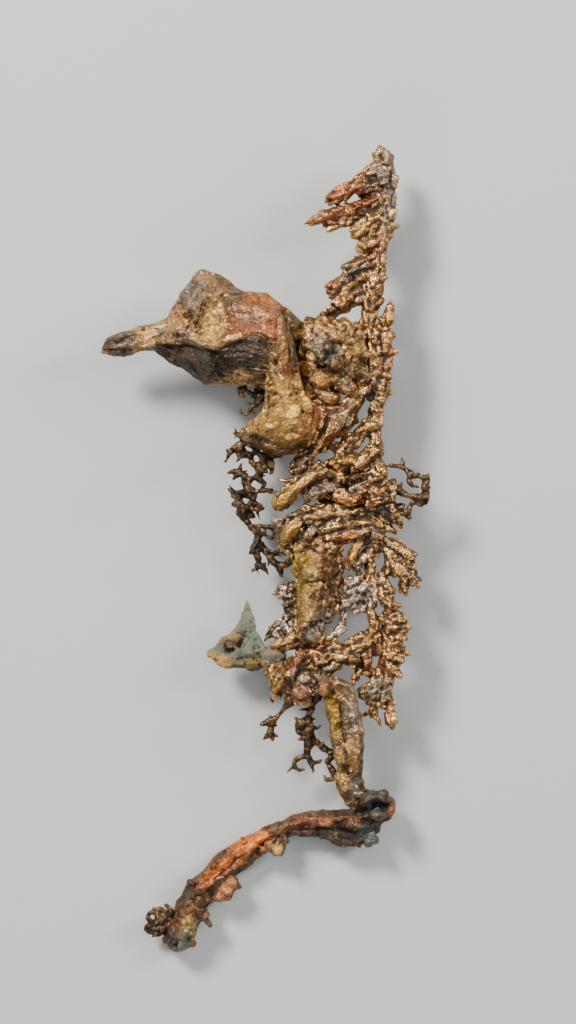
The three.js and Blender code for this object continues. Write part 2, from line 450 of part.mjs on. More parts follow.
const leftSpray = {
  name: "left_spray",
  finish: "dark_wiry_copper",
  limbs: [
    [[1.4, 18, 9, 1.2], [-1.4, 19, 9, 1.2], [-4, 20.4, 9.5, 1.4],
      [-6, 20.4, 9.5, 1.3], [-7.2, 19.4, 9.5, 0.8], [-7.9, 18.3, 9.5, 0.35]],
    [[-4.6, 20.6, 9.5, 1], [-5.4, 18.4, 9.5, 0.5]],
    [[-5.2, 21, 9.5, 1], [-5.9, 22.8, 9.8, 0.6], [-6.6, 23.7, 10, 0.4]],
    [[-1.4, 18.8, 9, 1], [-3, 17.6, 8.5, 0.8], [-4.4, 16.2, 8.5, 1.1],
      [-6, 15.9, 8.5, 0.9], [-7.4, 16, 8.5, 0.35]],
    [[0.8, 18, 9, 0.9], [0.9, 16.6, 9, 0.7], [-0.6, 15, 8.8, 0.8],
      [-2.4, 14.8, 8.6, 1.1], [-3.6, 13.2, 8.5, 1.2], [-5, 12, 8.5, 1.2],
      [-7.2, 12.6, 8.5, 0.4]],
    [[-4.2, 16, 8.5, 0.8], [-3, 14.4, 8.5, 0.9]],
    [[-2.6, 14.4, 8.6, 0.8], [-1, 13.2, 8.6, 0.6], [0.6, 12.2, 8.6, 0.5], [2.2, 11.8, 8.8, 0.4]],
    [[-4.6, 12.4, 8.4, 1.2], [-5.4, 10, 8.2, 1.4], [-4.6, 7.8, 8, 1.2],
      [-3.2, 6, 7.8, 0.9], [-2, 4, 7.6, 1], [-1.6, 1.8, 7.5, 0.8],
      [0, -0.2, 7.5, 1], [1.8, -1.4, 7.5, 1.1], [3.2, -3.4, 7.5, 0.8]],
    [[-4.4, 9.4, 8.2, 1], [-2, 9.2, 8.4, 0.8], [0.2, 8.6, 8.6, 0.4]],
    [[-2.2, 4.4, 7.6, 0.7], [-0.4, 5.2, 7.8, 0.5], [1.4, 5.2, 8, 0.5],
      [1.9, 3.6, 8, 0.5], [0.6, 2.6, 7.8, 0.45]],
    [[0.4, -0.6, 7.5, 0.9], [-0.9, -2.2, 7.3, 0.6], [0.2, -4, 7.2, 0.4]],
    [[-0.9, -2.2, 7.3, 0.6], [-2.4, -3.6, 7.2, 0.4]],
    [[1.8, -1.2, 7.5, 0.9], [3.4, 0.2, 8.5, 1.1], [4.6, 0.6, 9.5, 1]],
  ],
};

const neckSpray = {
  name: "neck_spray",
  finish: "dark_wiry_copper",
  limbs: [
    [[-0.8, 31.2, 12, 1], [-1.8, 31, 12, 1.1], [-3, 31.8, 12, 0.9], [-4.8, 32.6, 12, 0.7]],
    [[-1.8, 30.6, 12, 0.9], [-2.8, 29.2, 12, 0.7], [-3.8, 27.8, 12, 0.5], [-5, 28.2, 12, 0.3]],
    [[-4.6, 32.4, 12, 0.6], [-5.2, 31.4, 12, 0.4]],
  ],
};

// The heavier branch of each fork comes first, and the lighter one stops short of it.
const BRANCHES = [
  heavyLobe, leg, foot, centralRib, knobbyCluster, column, spire, sideLeaf, innerBranch,
  upperFern, lowerFern, hip, greenLobe, lowerArm, outerCob, greyCluster, outerFingers,
  outerCurls, pearlCluster, leftSpray, neckSpray, leftTwig, middleTwig, toeSpray,
];

// -------------------------------------------------------------------------- materials

const FINISHES = {
  massive_copper: { color: 0x8e6a4a, roughness: 0.5, metalness: 0.7 },
  knobby_copper: { color: 0x94754a, roughness: 0.42, metalness: 0.8 },
  beaded_copper: { color: 0x9c7850, roughness: 0.35, metalness: 0.85 },
  leafy_copper: { color: 0x8f7448, roughness: 0.38, metalness: 0.8 },
  gritty_copper: { color: 0x94743c, roughness: 0.45, metalness: 0.75 },
  fingered_copper: { color: 0x87694a, roughness: 0.3, metalness: 0.9 },
  silvery_copper: { color: 0x8a7d70, roughness: 0.3, metalness: 0.85 },
  pearly_copper: { color: 0x6e6258, roughness: 0.28, metalness: 0.85 },
  wiry_copper: { color: 0x6f5a44, roughness: 0.4, metalness: 0.75 },
  dark_wiry_copper: { color: 0x54463c, roughness: 0.45, metalness: 0.7 },
  green_crust: { color: 0x7f8c74, roughness: 0.85, metalness: 0.1 },
  rusty_copper: { color: 0x86512c, roughness: 0.5, metalness: 0.6 },
};

// ------------------------------------------------------------------------ making solids

const point = ([x, y, z]) => new THREE.Vector3(x, y, z);

// A repeatable number from -1 to 1 for a place, so that no two lumps are quite alike.
function stray(place, salt) {
  const wave = Math.sin(place.x * 12.9898 + place.y * 78.233 + place.z * 37.719 + salt * 4.581);
  return 2 * THREE.MathUtils.euclideanModulo(wave * 43758.5453, 1) - 1;
}

// A geometry as a manifold-3d solid.
function solidOf(geometry) {
  geometry.deleteAttribute("normal");
  geometry.deleteAttribute("uv");
  const merged = mergeVertices(geometry, SAME_POINT);
  return new wasm.Manifold(new wasm.Mesh({
    numProp: 3,
    vertProperties: merged.attributes.position.array,
    triVerts: new Uint32Array(merged.index.array),
  }));
}

// The corners of one station: a ring across the limb, and a point before and after it.
function stationCorners(station, along, sides, turned, grown) {
  const centre = point(station);
  const radius = station[3] + grown;
  const across = new THREE.Vector3(0, 0, 1).cross(along);
  if (across.length() < SAME_POINT) across.set(1, 0, 0);
  across.normalize();
  const outward = along.clone().cross(across);
  const reach = radius * TIP_REACH;
  const corners = [-reach, reach].map((end) => centre.clone().addScaledVector(along, end));
  for (let i = 0; i < sides; i++) {
    const angle = ((i + (turned ? 0.5 : 0)) / sides) * 2 * Math.PI;
    corners.push(centre.clone()
      .addScaledVector(across, radius * Math.cos(angle))
      .addScaledVector(outward, radius * Math.sin(angle)));
  }
  return corners;
}

function limbSolids(stations, grown) {
  const widest = Math.max(...stations.map((s) => s[3]));
  const { sides } = LIMB_SIDES.find(({ under }) => widest < under);
  const corners = stations.map((station, i) => {
    const before = point(stations[Math.max(i - 1, 0)]);
    const after = point(stations[Math.min(i + 1, stations.length - 1)]);
    return stationCorners(station, after.sub(before).normalize(), sides, i % 2 === 1, grown);
  });
  return corners.slice(1).map((set, i) => solidOf(new ConvexGeometry([...corners[i], ...set])));
}

function lumpSolid(lump, grown) {
  const centre = point(lump);
  const ball = new THREE.IcosahedronGeometry(1, 0).deleteAttribute("normal").deleteAttribute("uv");
  const places = mergeVertices(ball, SAME_POINT).getAttribute("position");
  const corners = [];
  for (let i = 0; i < places.count; i++) {
    const reach = lump[3] * (1 + LUMP_UNEVENNESS * stray(centre, i)) + grown;
    const corner = new THREE.Vector3().fromBufferAttribute(places, i);
    corners.push(corner.multiplyScalar(reach).add(centre));
  }
  return solidOf(new ConvexGeometry(corners));
}

function blockSolid(corners, grown) {
  const points = corners.map(point);
  const middle = points.reduce((sum, p) => sum.add(p), new THREE.Vector3()).divideScalar(points.length);
  for (const p of points) {
    const outward = p.clone().sub(middle).normalize();
    p.addScaledVector(outward, grown * CORNER_GROWTH);
  }
  return solidOf(new ConvexGeometry(points));
}

// A branch as one solid, grown all round by a margin.
function branchSolid({ limbs = [], lumps = [], blocks = [] }, grown = 0) {
  const pieces = [
    ...blocks.map((block) => blockSolid(block, grown)),
    ...lumps.map((lump) => lumpSolid(lump, grown)),
    ...limbs.flatMap((stations) => limbSolids(stations, grown)),
  ];
  return pieces.reduce((whole, piece) => whole.add(piece));
}

function largestBody(solid) {
  return solid.decompose().reduce((a, b) => (b.volume() > a.volume() ? b : a));
}

function geometryOf(solid) {
  const mesh = solid.getMesh();
  return new THREE.BufferGeometry()
    .setAttribute("position", new THREE.BufferAttribute(new Float32Array(mesh.vertProperties), 3))
    .setIndex(new THREE.BufferAttribute(new Uint32Array(mesh.triVerts), 1));
}

// ---------------------------------------------------------------------------- assembly

const CUT = { width: 400, depth: 100 }; // wider and deeper than anything that it cuts
const underLyingPlane = solidOf(
  new THREE.BoxGeometry(CUT.width, CUT.width, CUT.depth)
    .translate(0, 0, LYING_PLANE - CUT.depth / 2),
);

const growth = new THREE.Group();
const heavier = [];
for (const branch of BRANCHES) {
  let solid = branchSolid(branch).subtract(underLyingPlane);
  for (const neighbour of heavier) solid = solid.subtract(neighbour);
  solid = largestBody(solid);
  heavier.push(branchSolid(branch, FORK_GAP));

  const geometry = geometryOf(solid);
  geometry.computeVertexNormals();
  const mesh = new THREE.Mesh(geometry, new THREE.MeshStandardMaterial(FINISHES[branch.finish]));
  mesh.name = branch.name;
  growth.add(mesh);
}

export default growth;
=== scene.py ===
"""A branching native copper growth: its crystals, wires and patina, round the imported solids.

Lengths are in millimetres in the lists of places and in metres everywhere else. +Y runs up
the spire, +X across, and +Z out of the face that shows. The growth lies on its back.
"""

import math

import bpy
import numpy as np
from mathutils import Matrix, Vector, kdtree


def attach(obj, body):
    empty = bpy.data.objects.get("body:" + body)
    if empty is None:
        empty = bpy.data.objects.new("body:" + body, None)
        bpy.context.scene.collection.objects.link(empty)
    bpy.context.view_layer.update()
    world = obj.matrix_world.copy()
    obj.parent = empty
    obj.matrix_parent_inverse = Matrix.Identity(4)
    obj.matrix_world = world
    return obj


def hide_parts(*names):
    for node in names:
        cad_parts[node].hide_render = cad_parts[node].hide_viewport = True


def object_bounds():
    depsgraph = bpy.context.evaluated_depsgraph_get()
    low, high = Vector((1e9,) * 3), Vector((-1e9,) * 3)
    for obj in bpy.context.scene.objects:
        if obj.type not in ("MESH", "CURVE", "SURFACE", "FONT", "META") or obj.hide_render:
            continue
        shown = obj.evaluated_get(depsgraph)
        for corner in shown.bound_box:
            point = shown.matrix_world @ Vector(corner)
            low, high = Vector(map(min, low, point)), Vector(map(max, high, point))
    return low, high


bl_info = {
    "name": "Native Copper Growth",
    "version": (1, 0, 0),
    "blender": (4, 5, 0),
    "location": "3D View > Sidebar > Copper",
    "description": "Grows crystals, wires and patina on the branches of a native copper piece",
    "category": "Object",
}

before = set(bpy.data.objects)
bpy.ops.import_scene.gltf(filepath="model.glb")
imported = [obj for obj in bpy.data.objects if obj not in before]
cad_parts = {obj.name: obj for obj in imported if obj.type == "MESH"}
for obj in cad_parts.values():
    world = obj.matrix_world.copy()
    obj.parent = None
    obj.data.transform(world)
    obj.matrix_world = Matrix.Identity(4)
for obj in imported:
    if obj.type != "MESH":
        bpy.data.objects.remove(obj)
CAD_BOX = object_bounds()

MM = 0.001
SEED = 29
LYING_PLANE = 0.0


# ------------------------------------------------------------------------------ settings


def colour(name, description, default):
    return bpy.props.FloatVectorProperty(
        name=name, description=description, default=default, size=3, min=0, max=1, subtype="COLOR"
    )


def length(name, description, millimetres):
    return bpy.props.FloatProperty(
        name=name, description=description, default=millimetres * MM, min=0.01 * MM,
        unit="LENGTH", precision=6,
    )


class CopperSizes(bpy.types.PropertyGroup):
    massive_grain: length("Massive grain", "Mesh size on the heavy parts", 0.27)
    crystal_grain: length("Crystal grain", "Mesh size on the crystals", 0.19)
    wire_grain: length("Wire grain", "Mesh size on the wires and twigs", 0.15)
    floor_size: length("Floor", "Side of the floor", 3000)


class CopperColours(bpy.types.PropertyGroup):
    golden: colour("Golden", "Bright golden-brown metal", (0.38, 0.215, 0.08))
    brown: colour("Brown", "Plain brown metal", (0.138, 0.076, 0.033))
    pink: colour("Pink", "Pinkish fresh copper", (0.32, 0.125, 0.05))
    grey: colour("Grey", "Grey, silvery metal", (0.2, 0.15, 0.11))
    ochre: colour("Ochre", "Yellow ochre film", (0.4, 0.215, 0.05))
    mustard: colour("Mustard", "Mustard yellow film", (0.27, 0.155, 0.015))
    orange: colour("Orange", "Orange stain", (0.5, 0.135, 0.018))
    red: colour("Red", "Red cuprite film", (0.22, 0.05, 0.02))
    green: colour("Green", "Grey-green carbonate crust", (0.115, 0.125, 0.085))
    teal: colour("Teal", "Blue-grey film", (0.075, 0.105, 0.1))
    dark: colour("Dark", "Blackened metal", (0.03, 0.021, 0.014))
    silver: colour("Silver", "Bright silvery metal", (0.4, 0.32, 0.26))
    straw: colour("Straw", "Pale straw-coloured film", (0.56, 0.33, 0.1))
    rust: colour("Rust", "Rust-brown film", (0.085, 0.034, 0.013))
    # Near-black for the hollows between the crystals: dirt there, and painted shade.
    crevice_dirt_and_shade: colour("Crevice", "Dirt deep between the crystals", (0.012, 0.006, 0.003))


# ----------------------------------------------------------------------- small tools


def sizes():
    return bpy.context.scene.copper_sizes


def colours():
    return bpy.context.scene.copper_colours


def random_for(name):
    """A random source of the piece's own, the same on every run."""
    return np.random.default_rng(SEED + sum(ord(letter) * (i + 1) for i, letter in enumerate(name)))


def unit(vectors):
    lengths = np.linalg.norm(vectors, axis=-1, keepdims=True)
    return vectors / np.maximum(lengths, 1e-12)


def deselect_all():
    if bpy.context.object and bpy.context.object.mode != "OBJECT":
        bpy.ops.object.mode_set(mode="OBJECT")
    bpy.ops.object.select_all(action="DESELECT")


def activate(piece):
    deselect_all()
    piece.select_set(True)
    bpy.context.view_layer.objects.active = piece


def apply_modifier(piece, kind, **values):
    modifier = piece.modifiers.new(kind.title(), kind)
    for name, value in values.items():
        setattr(modifier, name, value)
    activate(piece)
    bpy.ops.object.modifier_apply(modifier=modifier.name)


def vertex_places(mesh):
    flat = np.empty(len(mesh.vertices) * 3)
    mesh.vertices.foreach_get("co", flat)
    return flat.reshape(-1, 3)


def vertex_normals(mesh):
    flat = np.empty(len(mesh.vertices) * 3)
    mesh.vertex_normals.foreach_get("vector", flat)
    return flat.reshape(-1, 3)


def new_object(name, mesh):
    piece = bpy.data.objects.new(name, mesh)
    bpy.context.scene.collection.objects.link(piece)
    return piece


# ------------------------------------------------------------------- crystal shapes


def shape_arrays(piece):
    """The piece's vertices and triangles as arrays. The piece itself is then removed."""
    mesh = piece.data
    mesh.calc_loop_triangles()
    triangles = np.empty(len(mesh.loop_triangles) * 3, np.int32)
    mesh.loop_triangles.foreach_get("vertices", triangles)
    places = vertex_places(mesh)
    bpy.data.objects.remove(piece)
    return places, triangles.reshape(-1, 3)


def model_block():
    """A blunt crystal: a block with cut edges, narrower at its free end."""
    deselect_all()
    bpy.ops.mesh.primitive_cube_add(size=1, location=(0, 0, 0.3))
    piece = bpy.context.object
    bpy.ops.object.transform_apply(location=True)
    bpy.ops.object.mode_set(mode="EDIT")
    bpy.ops.mesh.select_all(action="DESELECT")
    bpy.ops.object.mode_set(mode="OBJECT")
    for face in piece.data.polygons:
        face.select = face.normal.z > 0.9
    bpy.ops.object.mode_set(mode="EDIT")
    bpy.ops.mesh.select_mode(type="FACE")
    bpy.ops.transform.resize(value=(0.62, 0.5, 1))
    bpy.ops.mesh.select_all(action="SELECT")
    bpy.ops.mesh.bevel(offset=0.17, segments=1, affect="EDGES")
    bpy.ops.object.mode_set(mode="OBJECT")
    return shape_arrays(piece)


# Each flat is (the way it faces, how far from the middle it cuts).
NUB_FLATS = (((0.5, 0.2, 0.84), 0.4), ((-0.7, 0.5, 0.5), 0.42), ((0.2, -0.9, 0.38), 0.41))


def model_nub():
    """A rounded nub with a few flats."""
    deselect_all()
    bpy.ops.mesh.primitive_ico_sphere_add(subdivisions=2, radius=0.5)
    piece = bpy.context.object
    bpy.ops.object.mode_set(mode="EDIT")
    for normal, height in NUB_FLATS:
        bpy.ops.mesh.select_all(action="SELECT")
        bpy.ops.mesh.bisect(
            plane_co=[height * part for part in normal], plane_no=normal,
            use_fill=True, clear_outer=True,
        )
    bpy.ops.object.mode_set(mode="OBJECT")
    return shape_arrays(piece)


def model_thorn():
    """A pointed crystal with five sides."""
    deselect_all()
    bpy.ops.mesh.primitive_cone_add(vertices=5, radius1=0.5, radius2=0.12, depth=1, location=(0, 0, 0.4))
    piece = bpy.context.object
    bpy.ops.object.transform_apply(location=True)
    return shape_arrays(piece)


MODELLERS = {"block": model_block, "nub": model_nub, "thorn": model_thorn}
SHAPES = {}


def shape(name):
    if name not in SHAPES:
        SHAPES[name] = MODELLERS[name]()
    return SHAPES[name]


NEARLY_UPRIGHT = 0.9
# The middle of a shape, as a share of its length
SHAPE_MIDDLE = 0.3
# A crust's crystals: how far they sink, as a share of their width, how unruly they lean, and
# how far round them the run of the branch is taken, in millimetres
CRUST_SINK = 0.3
CRUST_WOBBLE = 0.3
RUN_REACH = 2.6
# A strand's nubs: how much their widths and places vary, how long they are for their width,
# and the sizes of its thorns
STRAND_LUMPS = 0.25
STRAND_JITTER = 0.12
STRAND_LENGTH = 1.25
THORN_WIDTH = 0.8
THORN_LENGTH = 2.2
# A cob's core of nubs, then its rings: their step along the path and the kernels' step round
# it, as shares of a kernel, and the clear end of the path
COB_CORE = 1.6
RING_STEP = 0.85
KERNEL_STEP = 1.05
CLEAR_TIP = 0.8
# Under the first radius, in millimetres, a cob has no kernels. Under about the second they
# are smaller.
BARE_RADIUS = 0.42
FULL_RADIUS = 1.15
# How far a cob's kernels lean outwards, how unruly they lie, and how many are blocks
KERNEL_LEAN = 0.35
KERNEL_WOBBLE = 0.16
RING_WOBBLE = 0.18
BLOCK_SHARE = 0.65


class Pile:
    """Many crystals on one branch, kept as arrays until they are joined in one mesh."""

    def __init__(self, name):
        self.name = name
        self.random = random_for(name)
        self.places = []
        self.triangles = []
        self.centres = []
        self.count = 0

    def add(self, kind, centres, axes, widths, lengths):
        """Copies of one shape. Each stands on its centre, along its axis, turned at random."""
        places, triangles = shape(kind)
        n = len(centres)
        axes = unit(axes)
        level = np.abs(axes[:, 2:3]) < NEARLY_UPRIGHT
        helper = np.where(level, [[0.0, 0.0, 1.0]], [[1.0, 0.0, 0.0]])
        first = unit(np.cross(helper, axes))
        second = np.cross(axes, first)
        spin = self.random.uniform(0, 2 * math.pi, (n, 1))
        side = first * np.cos(spin) + second * np.sin(spin)
        other = np.cross(axes, side)
        flatness = self.random.uniform(0.75, 1.1, (n, 1, 1))
        x, y, z = (places[None, :, i, None] for i in range(3))
        grown = (
            x * (side * widths[:, None])[:, None, :]
            + y * flatness * (other * widths[:, None])[:, None, :]
            + z * (axes * lengths[:, None])[:, None, :]
            + centres[:, None, :]
        )
        offsets = self.count + np.arange(n)[:, None, None] * len(places)
        self.places.append(grown.reshape(-1, 3))
        self.triangles.append((triangles[None] + offsets).reshape(-1, 3))
        self.centres.append(centres + axes * lengths[:, None] * SHAPE_MIDDLE)
        self.count += n * len(places)

    def crust(self, core, root, spacing, size, stretch, lean, kind):
        """Crystals over the core's skin, leaning the way the branch runs, away from its root."""
        places, normals = skin_points(core, spacing * MM, self.random)
        run = branch_run(places, np.array(root) * MM, RUN_REACH * MM)
        wobble = self.random.normal(0, CRUST_WOBBLE, places.shape)
        axes = run * lean + normals * (1 - 0.6 * lean) + wobble
        widths = size * MM * self.random.uniform(0.7, 1.35, len(places))
        lengths = widths * stretch * self.random.uniform(0.8, 1.3, len(places))
        self.add(kind, places - normals * widths[:, None] * CRUST_SINK, axes, widths, lengths)

    def strand(self, stations, thorns=0.0):
        """A wire or twig through stations of (x, y, z, radius), lumpy, and thorny if asked."""
        path = smooth_path(np.array(stations, float) * MM)
        centres = path[:, :3]
        along = unit(np.gradient(centres, axis=0))
        lumps = self.random.uniform(1 - STRAND_LUMPS, 1 + STRAND_LUMPS, len(path))
        widths = 2 * path[:, 3] * lumps
        jitter = self.random.normal(0, STRAND_JITTER, centres.shape) * path[:, 3:]
        self.add("nub", centres + jitter, along, widths, widths * STRAND_LENGTH)
        if thorns:
            chosen = self.random.random(len(path)) < thorns
            sideways = unit(np.cross(along, self.random.normal(0, 1, along.shape)))
            axes = (sideways + along * 0.5)[chosen]
            thick = widths[chosen]
            self.add("thorn", centres[chosen], axes, thick * THORN_WIDTH, thick * THORN_LENGTH)

    def cob(self, stations, kernel, stout=1.0, long=1.0):
        """A finger of crystals: kernels in rings round its path, leaning towards its tip.

        kernel is their usual width in millimetres, and stout and long stretch the finger's
        radius and the kernels' length."""
        path = smooth_path(np.array(stations, float) * MM)
        path[:, 3] *= stout
        along = unit(np.gradient(path[:, :3], axis=0))
        self.add("nub", path[:, :3], along, path[:, 3] * COB_CORE, path[:, 3] * COB_CORE)
        steps = np.linalg.norm(np.diff(path[:, :3], axis=0), axis=1)
        travelled = np.concatenate([[0], np.cumsum(steps)])
        rings = np.arange(0, travelled[-1] + 0.1 * MM, kernel * RING_STEP * MM)
        for number, reached in enumerate(rings):
            centre = np.array([np.interp(reached, travelled, path[:, i]) for i in range(3)])
            radius = np.interp(reached, travelled, path[:, 3])
            if radius < BARE_RADIUS * MM or travelled[-1] - reached < kernel * CLEAR_TIP * MM:
                continue
            way = unit(np.array([np.interp(reached, travelled, along[:, i]) for i in range(3)]))
            count = max(3, round(2 * math.pi * radius / (kernel * KERNEL_STEP * MM)))
            turn = (np.arange(count) + number % 2 / 2) / count * 2 * math.pi
            turn += self.random.normal(0, RING_WOBBLE, count)
            helper = (0, 0, 1) if abs(way[2]) < NEARLY_UPRIGHT else (1, 0, 0)
            side = unit(np.cross(way, helper))
            out = np.cos(turn)[:, None] * side + np.sin(turn)[:, None] * np.cross(way, side)
            growth = min(1, radius / (FULL_RADIUS * MM) + 0.1)
            size = kernel * MM * self.random.uniform(0.8, 1.5, count) * growth
            kind = "block" if self.random.random() < BLOCK_SHARE else "nub"
            sunk = self.random.uniform(0.2, 0.5, count)
            starts = centre + out * (radius - sunk * size)[:, None]
            wobble = self.random.normal(0, KERNEL_WOBBLE, out.shape)
            axes = way + out * KERNEL_LEAN + wobble
            self.add(kind, starts, axes, size, size * self.random.uniform(1.1, 1.7, count) * long)

    def mesh(self):
        mesh = bpy.data.meshes.new(self.name)
        mesh.from_pydata(np.concatenate(self.places), [], np.concatenate(self.triangles).tolist())
        return mesh


def smooth_path(stations):
    """Points close together on a smooth curve through the stations, with their radii."""
    padded = np.vstack([2 * stations[0] - stations[1], stations, 2 * stations[-1] - stations[-2]])
    padded[:, 3] = np.maximum(padded[:, 3], 0.1 * MM)
    found = []
    for i in range(1, len(padded) - 2):
        before, start, end, after = padded[i - 1 : i + 3]
        gap = np.linalg.norm(end[:3] - start[:3])
        steps = max(2, math.ceil(gap / (0.75 * min(start[3], end[3]) + 0.05 * MM)))
        t = np.linspace(0, 1, steps, endpoint=False)[:, None]
        found.append(
            0.5 * (2 * start + (end - before) * t
                   + (2 * before - 5 * start + 4 * end - after) * t**2
                   + (3 * start - before - 3 * end + after) * t**3)
        )
    found.append(padded[-2:-1])
    return np.vstack(found)


def skin_points(core, spacing, random):
    """Points spread over the core's skin, no closer than the spacing, with their normals."""
    mesh = core.data
    mesh.calc_loop_triangles()
    corners = np.empty(len(mesh.loop_triangles) * 3, np.int32)
    mesh.loop_triangles.foreach_get("vertices", corners)
    a, b, c = (vertex_places(mesh)[corners.reshape(-1, 3)[:, i]] for i in range(3))
    cross = np.cross(b - a, c - a)
    areas = np.linalg.norm(cross, axis=1) / 2
    tries = int(6 * areas.sum() / spacing**2)
    chosen = random.choice(len(areas), tries, p=areas / areas.sum())
    u, v = random.random((2, tries, 1))
    over = u + v > 1
    u, v = np.where(over, 1 - u, u), np.where(over, 1 - v, v)
    points = a[chosen] + (b - a)[chosen] * u + (c - a)[chosen] * v
    normals = unit(cross)[chosen]
    kept = []
    cells = {}
    for i, point in enumerate(points):
        cell = tuple((point // spacing).astype(int))
        near = (
            j
            for dx in (-1, 0, 1) for dy in (-1, 0, 1) for dz in (-1, 0, 1)
            for j in cells.get((cell[0] + dx, cell[1] + dy, cell[2] + dz), ())
        )
        if all(np.sum((points[j] - point) ** 2) > spacing**2 for j in near):
            cells.setdefault(cell, []).append(i)
            kept.append(i)
    return points[kept], normals[kept]


def branch_run(points, root, reach):
    """The way the branch runs at each point: the long axis of its neighbours, root to tip."""
    run = np.empty_like(points)
    for i, point in enumerate(points):
        near = points[np.sum((points - point) ** 2, axis=1) < reach**2]
        spread = near - near.mean(axis=0)
        values, vectors = np.linalg.eigh(spread.T @ spread)
        axis = vectors[:, -1]
        away = point - root
        run[i] = axis * (1 if axis @ away >= 0 else -1)
    return run


# ------------------------------------------------------------- cores, fusing and relief


def core_of(node, swell=0.0):
    """A copy of a branch's solid, with its corners merged, swollen by some millimetres."""
    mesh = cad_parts[node].data.copy()
    mesh.materials.clear()
    core = new_object(node + "_core", mesh)
    activate(core)
    bpy.ops.object.mode_set(mode="EDIT")
    bpy.ops.mesh.select_all(action="SELECT")
    bpy.ops.mesh.remove_doubles(threshold=0.002 * MM)
    bpy.ops.object.mode_set(mode="OBJECT")
    if swell:
        apply_modifier(core, "DISPLACE", strength=swell * MM, mid_level=0)
    return core


# Voronoi weights that make flat grains with creases between them
PLATEAUS = {"weight_1": -1.0, "weight_2": 1.0}
# The strength of that pattern for grains of a height of 1
GRAIN_STRENGTH = 3.2


def relief_texture(name, kind, scale, **values):
    texture = bpy.data.textures.get(name) or bpy.data.textures.new(name, kind)
    texture.noise_scale = scale * MM
    for key, value in values.items():
        setattr(texture, key, value)
    return texture


def relief(piece, name, kind, scale, strength, middle=0.5, **values):
    """Raises and sinks the piece's skin by a pattern of that scale, both in millimetres."""
    texture = relief_texture(name, kind, scale, **values)
    apply_modifier(
        piece, "DISPLACE", texture=texture, texture_coords="LOCAL", strength=strength * MM,
        mid_level=middle,
    )


def grains(piece, scale, height):
    """Flat-topped grains of that size and height, with creases between them."""
    strength = height * GRAIN_STRENGTH
    relief(piece, f"grains_{scale}", "VORONOI", scale, strength, middle=0.08, **PLATEAUS)


def pull(piece, pulls):
    """Takes hold of the skin at each place and moves it, with less effect further off."""
    places = vertex_places(piece.data)
    for place, reach, move in pulls:
        away = np.sum((places / MM - place) ** 2, axis=1)
        places += np.exp(-away / reach**2)[:, None] * np.array(move) * MM
    piece.data.vertices.foreach_set("co", places.ravel())
    piece.data.update()


def scallops(piece, scale, depth):
    """Shallow bowls of that size and depth, with sharp crests between them."""
    relief(piece, f"scallops_{scale}", "VORONOI", scale, depth, middle=0.35, weight_1=1.0,
           distance_metric="DISTANCE_SQUARED")


def fuse(name, parts, grain):
    """Joins the parts in one closed skin, as metal that has grown together."""
    activate(parts[0])
    for part in parts[1:]:
        part.select_set(True)
    if len(parts) > 1:
        bpy.ops.object.join()
    piece = bpy.context.object
    piece.name = name
    piece.data.name = name
    apply_modifier(piece, "REMESH", mode="VOXEL", voxel_size=grain, use_smooth_shade=True)
    return piece


def smooth(piece, rounds):
    apply_modifier(piece, "SMOOTH", factor=0.5, iterations=rounds)


def keep_inside(piece):
    """Holds the skin above the surface that it lies on, and inside the solids' whole box."""
    places = vertex_places(piece.data)
    low, high = (np.array(corner, float) for corner in CAD_BOX)
    low[2] = LYING_PLANE
    np.clip(places, low, high, out=places)
    piece.data.vertices.foreach_set("co", places.ravel())
    piece.data.update()


# Each set of streaks is (depth, length, width, angle, spread, outline). The angle is in
# degrees, turned against the clock from the +X axis. Everything else is in millimetres.
LOBE_STREAKS = (
    (0.6, 6, 1.0, -28, 0.5, [(-22, 42), (-12, 41), (-9, 39), (-9, 34), (-12.5, 33), (-23, 39)]),
    (0.5, 5, 0.8, -8, 0.5, [
        (-11, 40), (-8, 40), (-2, 43), (2, 41), (2, 33), (-4, 33), (-10, 34)]),
    (0.4, 5, 1.5, 62, 0.5, [(-19, 46), (-14, 56), (-9, 55), (-9, 49), (-12, 42), (-16, 42)]),
    (0.3, 6, 1.8, -12, 0.5, [(-8, 42), (-9, 52), (3, 50), (4, 42)]),
    (0.4, 5, 1.0, 22, 0.5, [(-33, 38), (-33, 43), (-20, 47), (-18, 42)]),
    (0.2, 2.2, 2.2, 33, 0.4, [(-16, 44), (-19, 48), (-12, 57), (4, 50), (4, 43), (-8, 42)]),
    (0.16, 1.1, 1.1, 58, 0.4, [
        (-33, 40), (-19, 47), (-12, 57), (6, 48), (2, 33), (-12, 33), (-30, 38)]),
    (0.25, 3.0, 2.0, 37, 0.4, [
        (0.5, 33), (6.5, 33), (10, 28), (9, 21), (3, 18), (-6, 22), (-3, 27)]),
    (0.22, 0.9, 0.9, 61, 0.4, [
        (0.5, 35), (6.5, 35), (10, 28), (9, 21), (3, 18), (-6, 22), (-3, 27)]),
    (0.4, 4, 1.0, 82, 0.4, [(0, 33), (0.5, 40), (2, 46), (5.5, 46), (6, 33)]),
)
# Each pull is (place, reach, move), in millimetres.
BREAST_PULLS = (
    ((-4.5, 28, 16), 3, (3, 0, 0)),
    ((-5.5, 25.5, 15), 2.2, (1.2, -0.6, 0)),
    ((5.5, 32, 18), 2.2, (1, 0, 0)),
    ((8.5, 31, 14), 2.5, (-1, 0, 0)),
    ((2, 28, 21), 4, (0, 0, -1)),
)
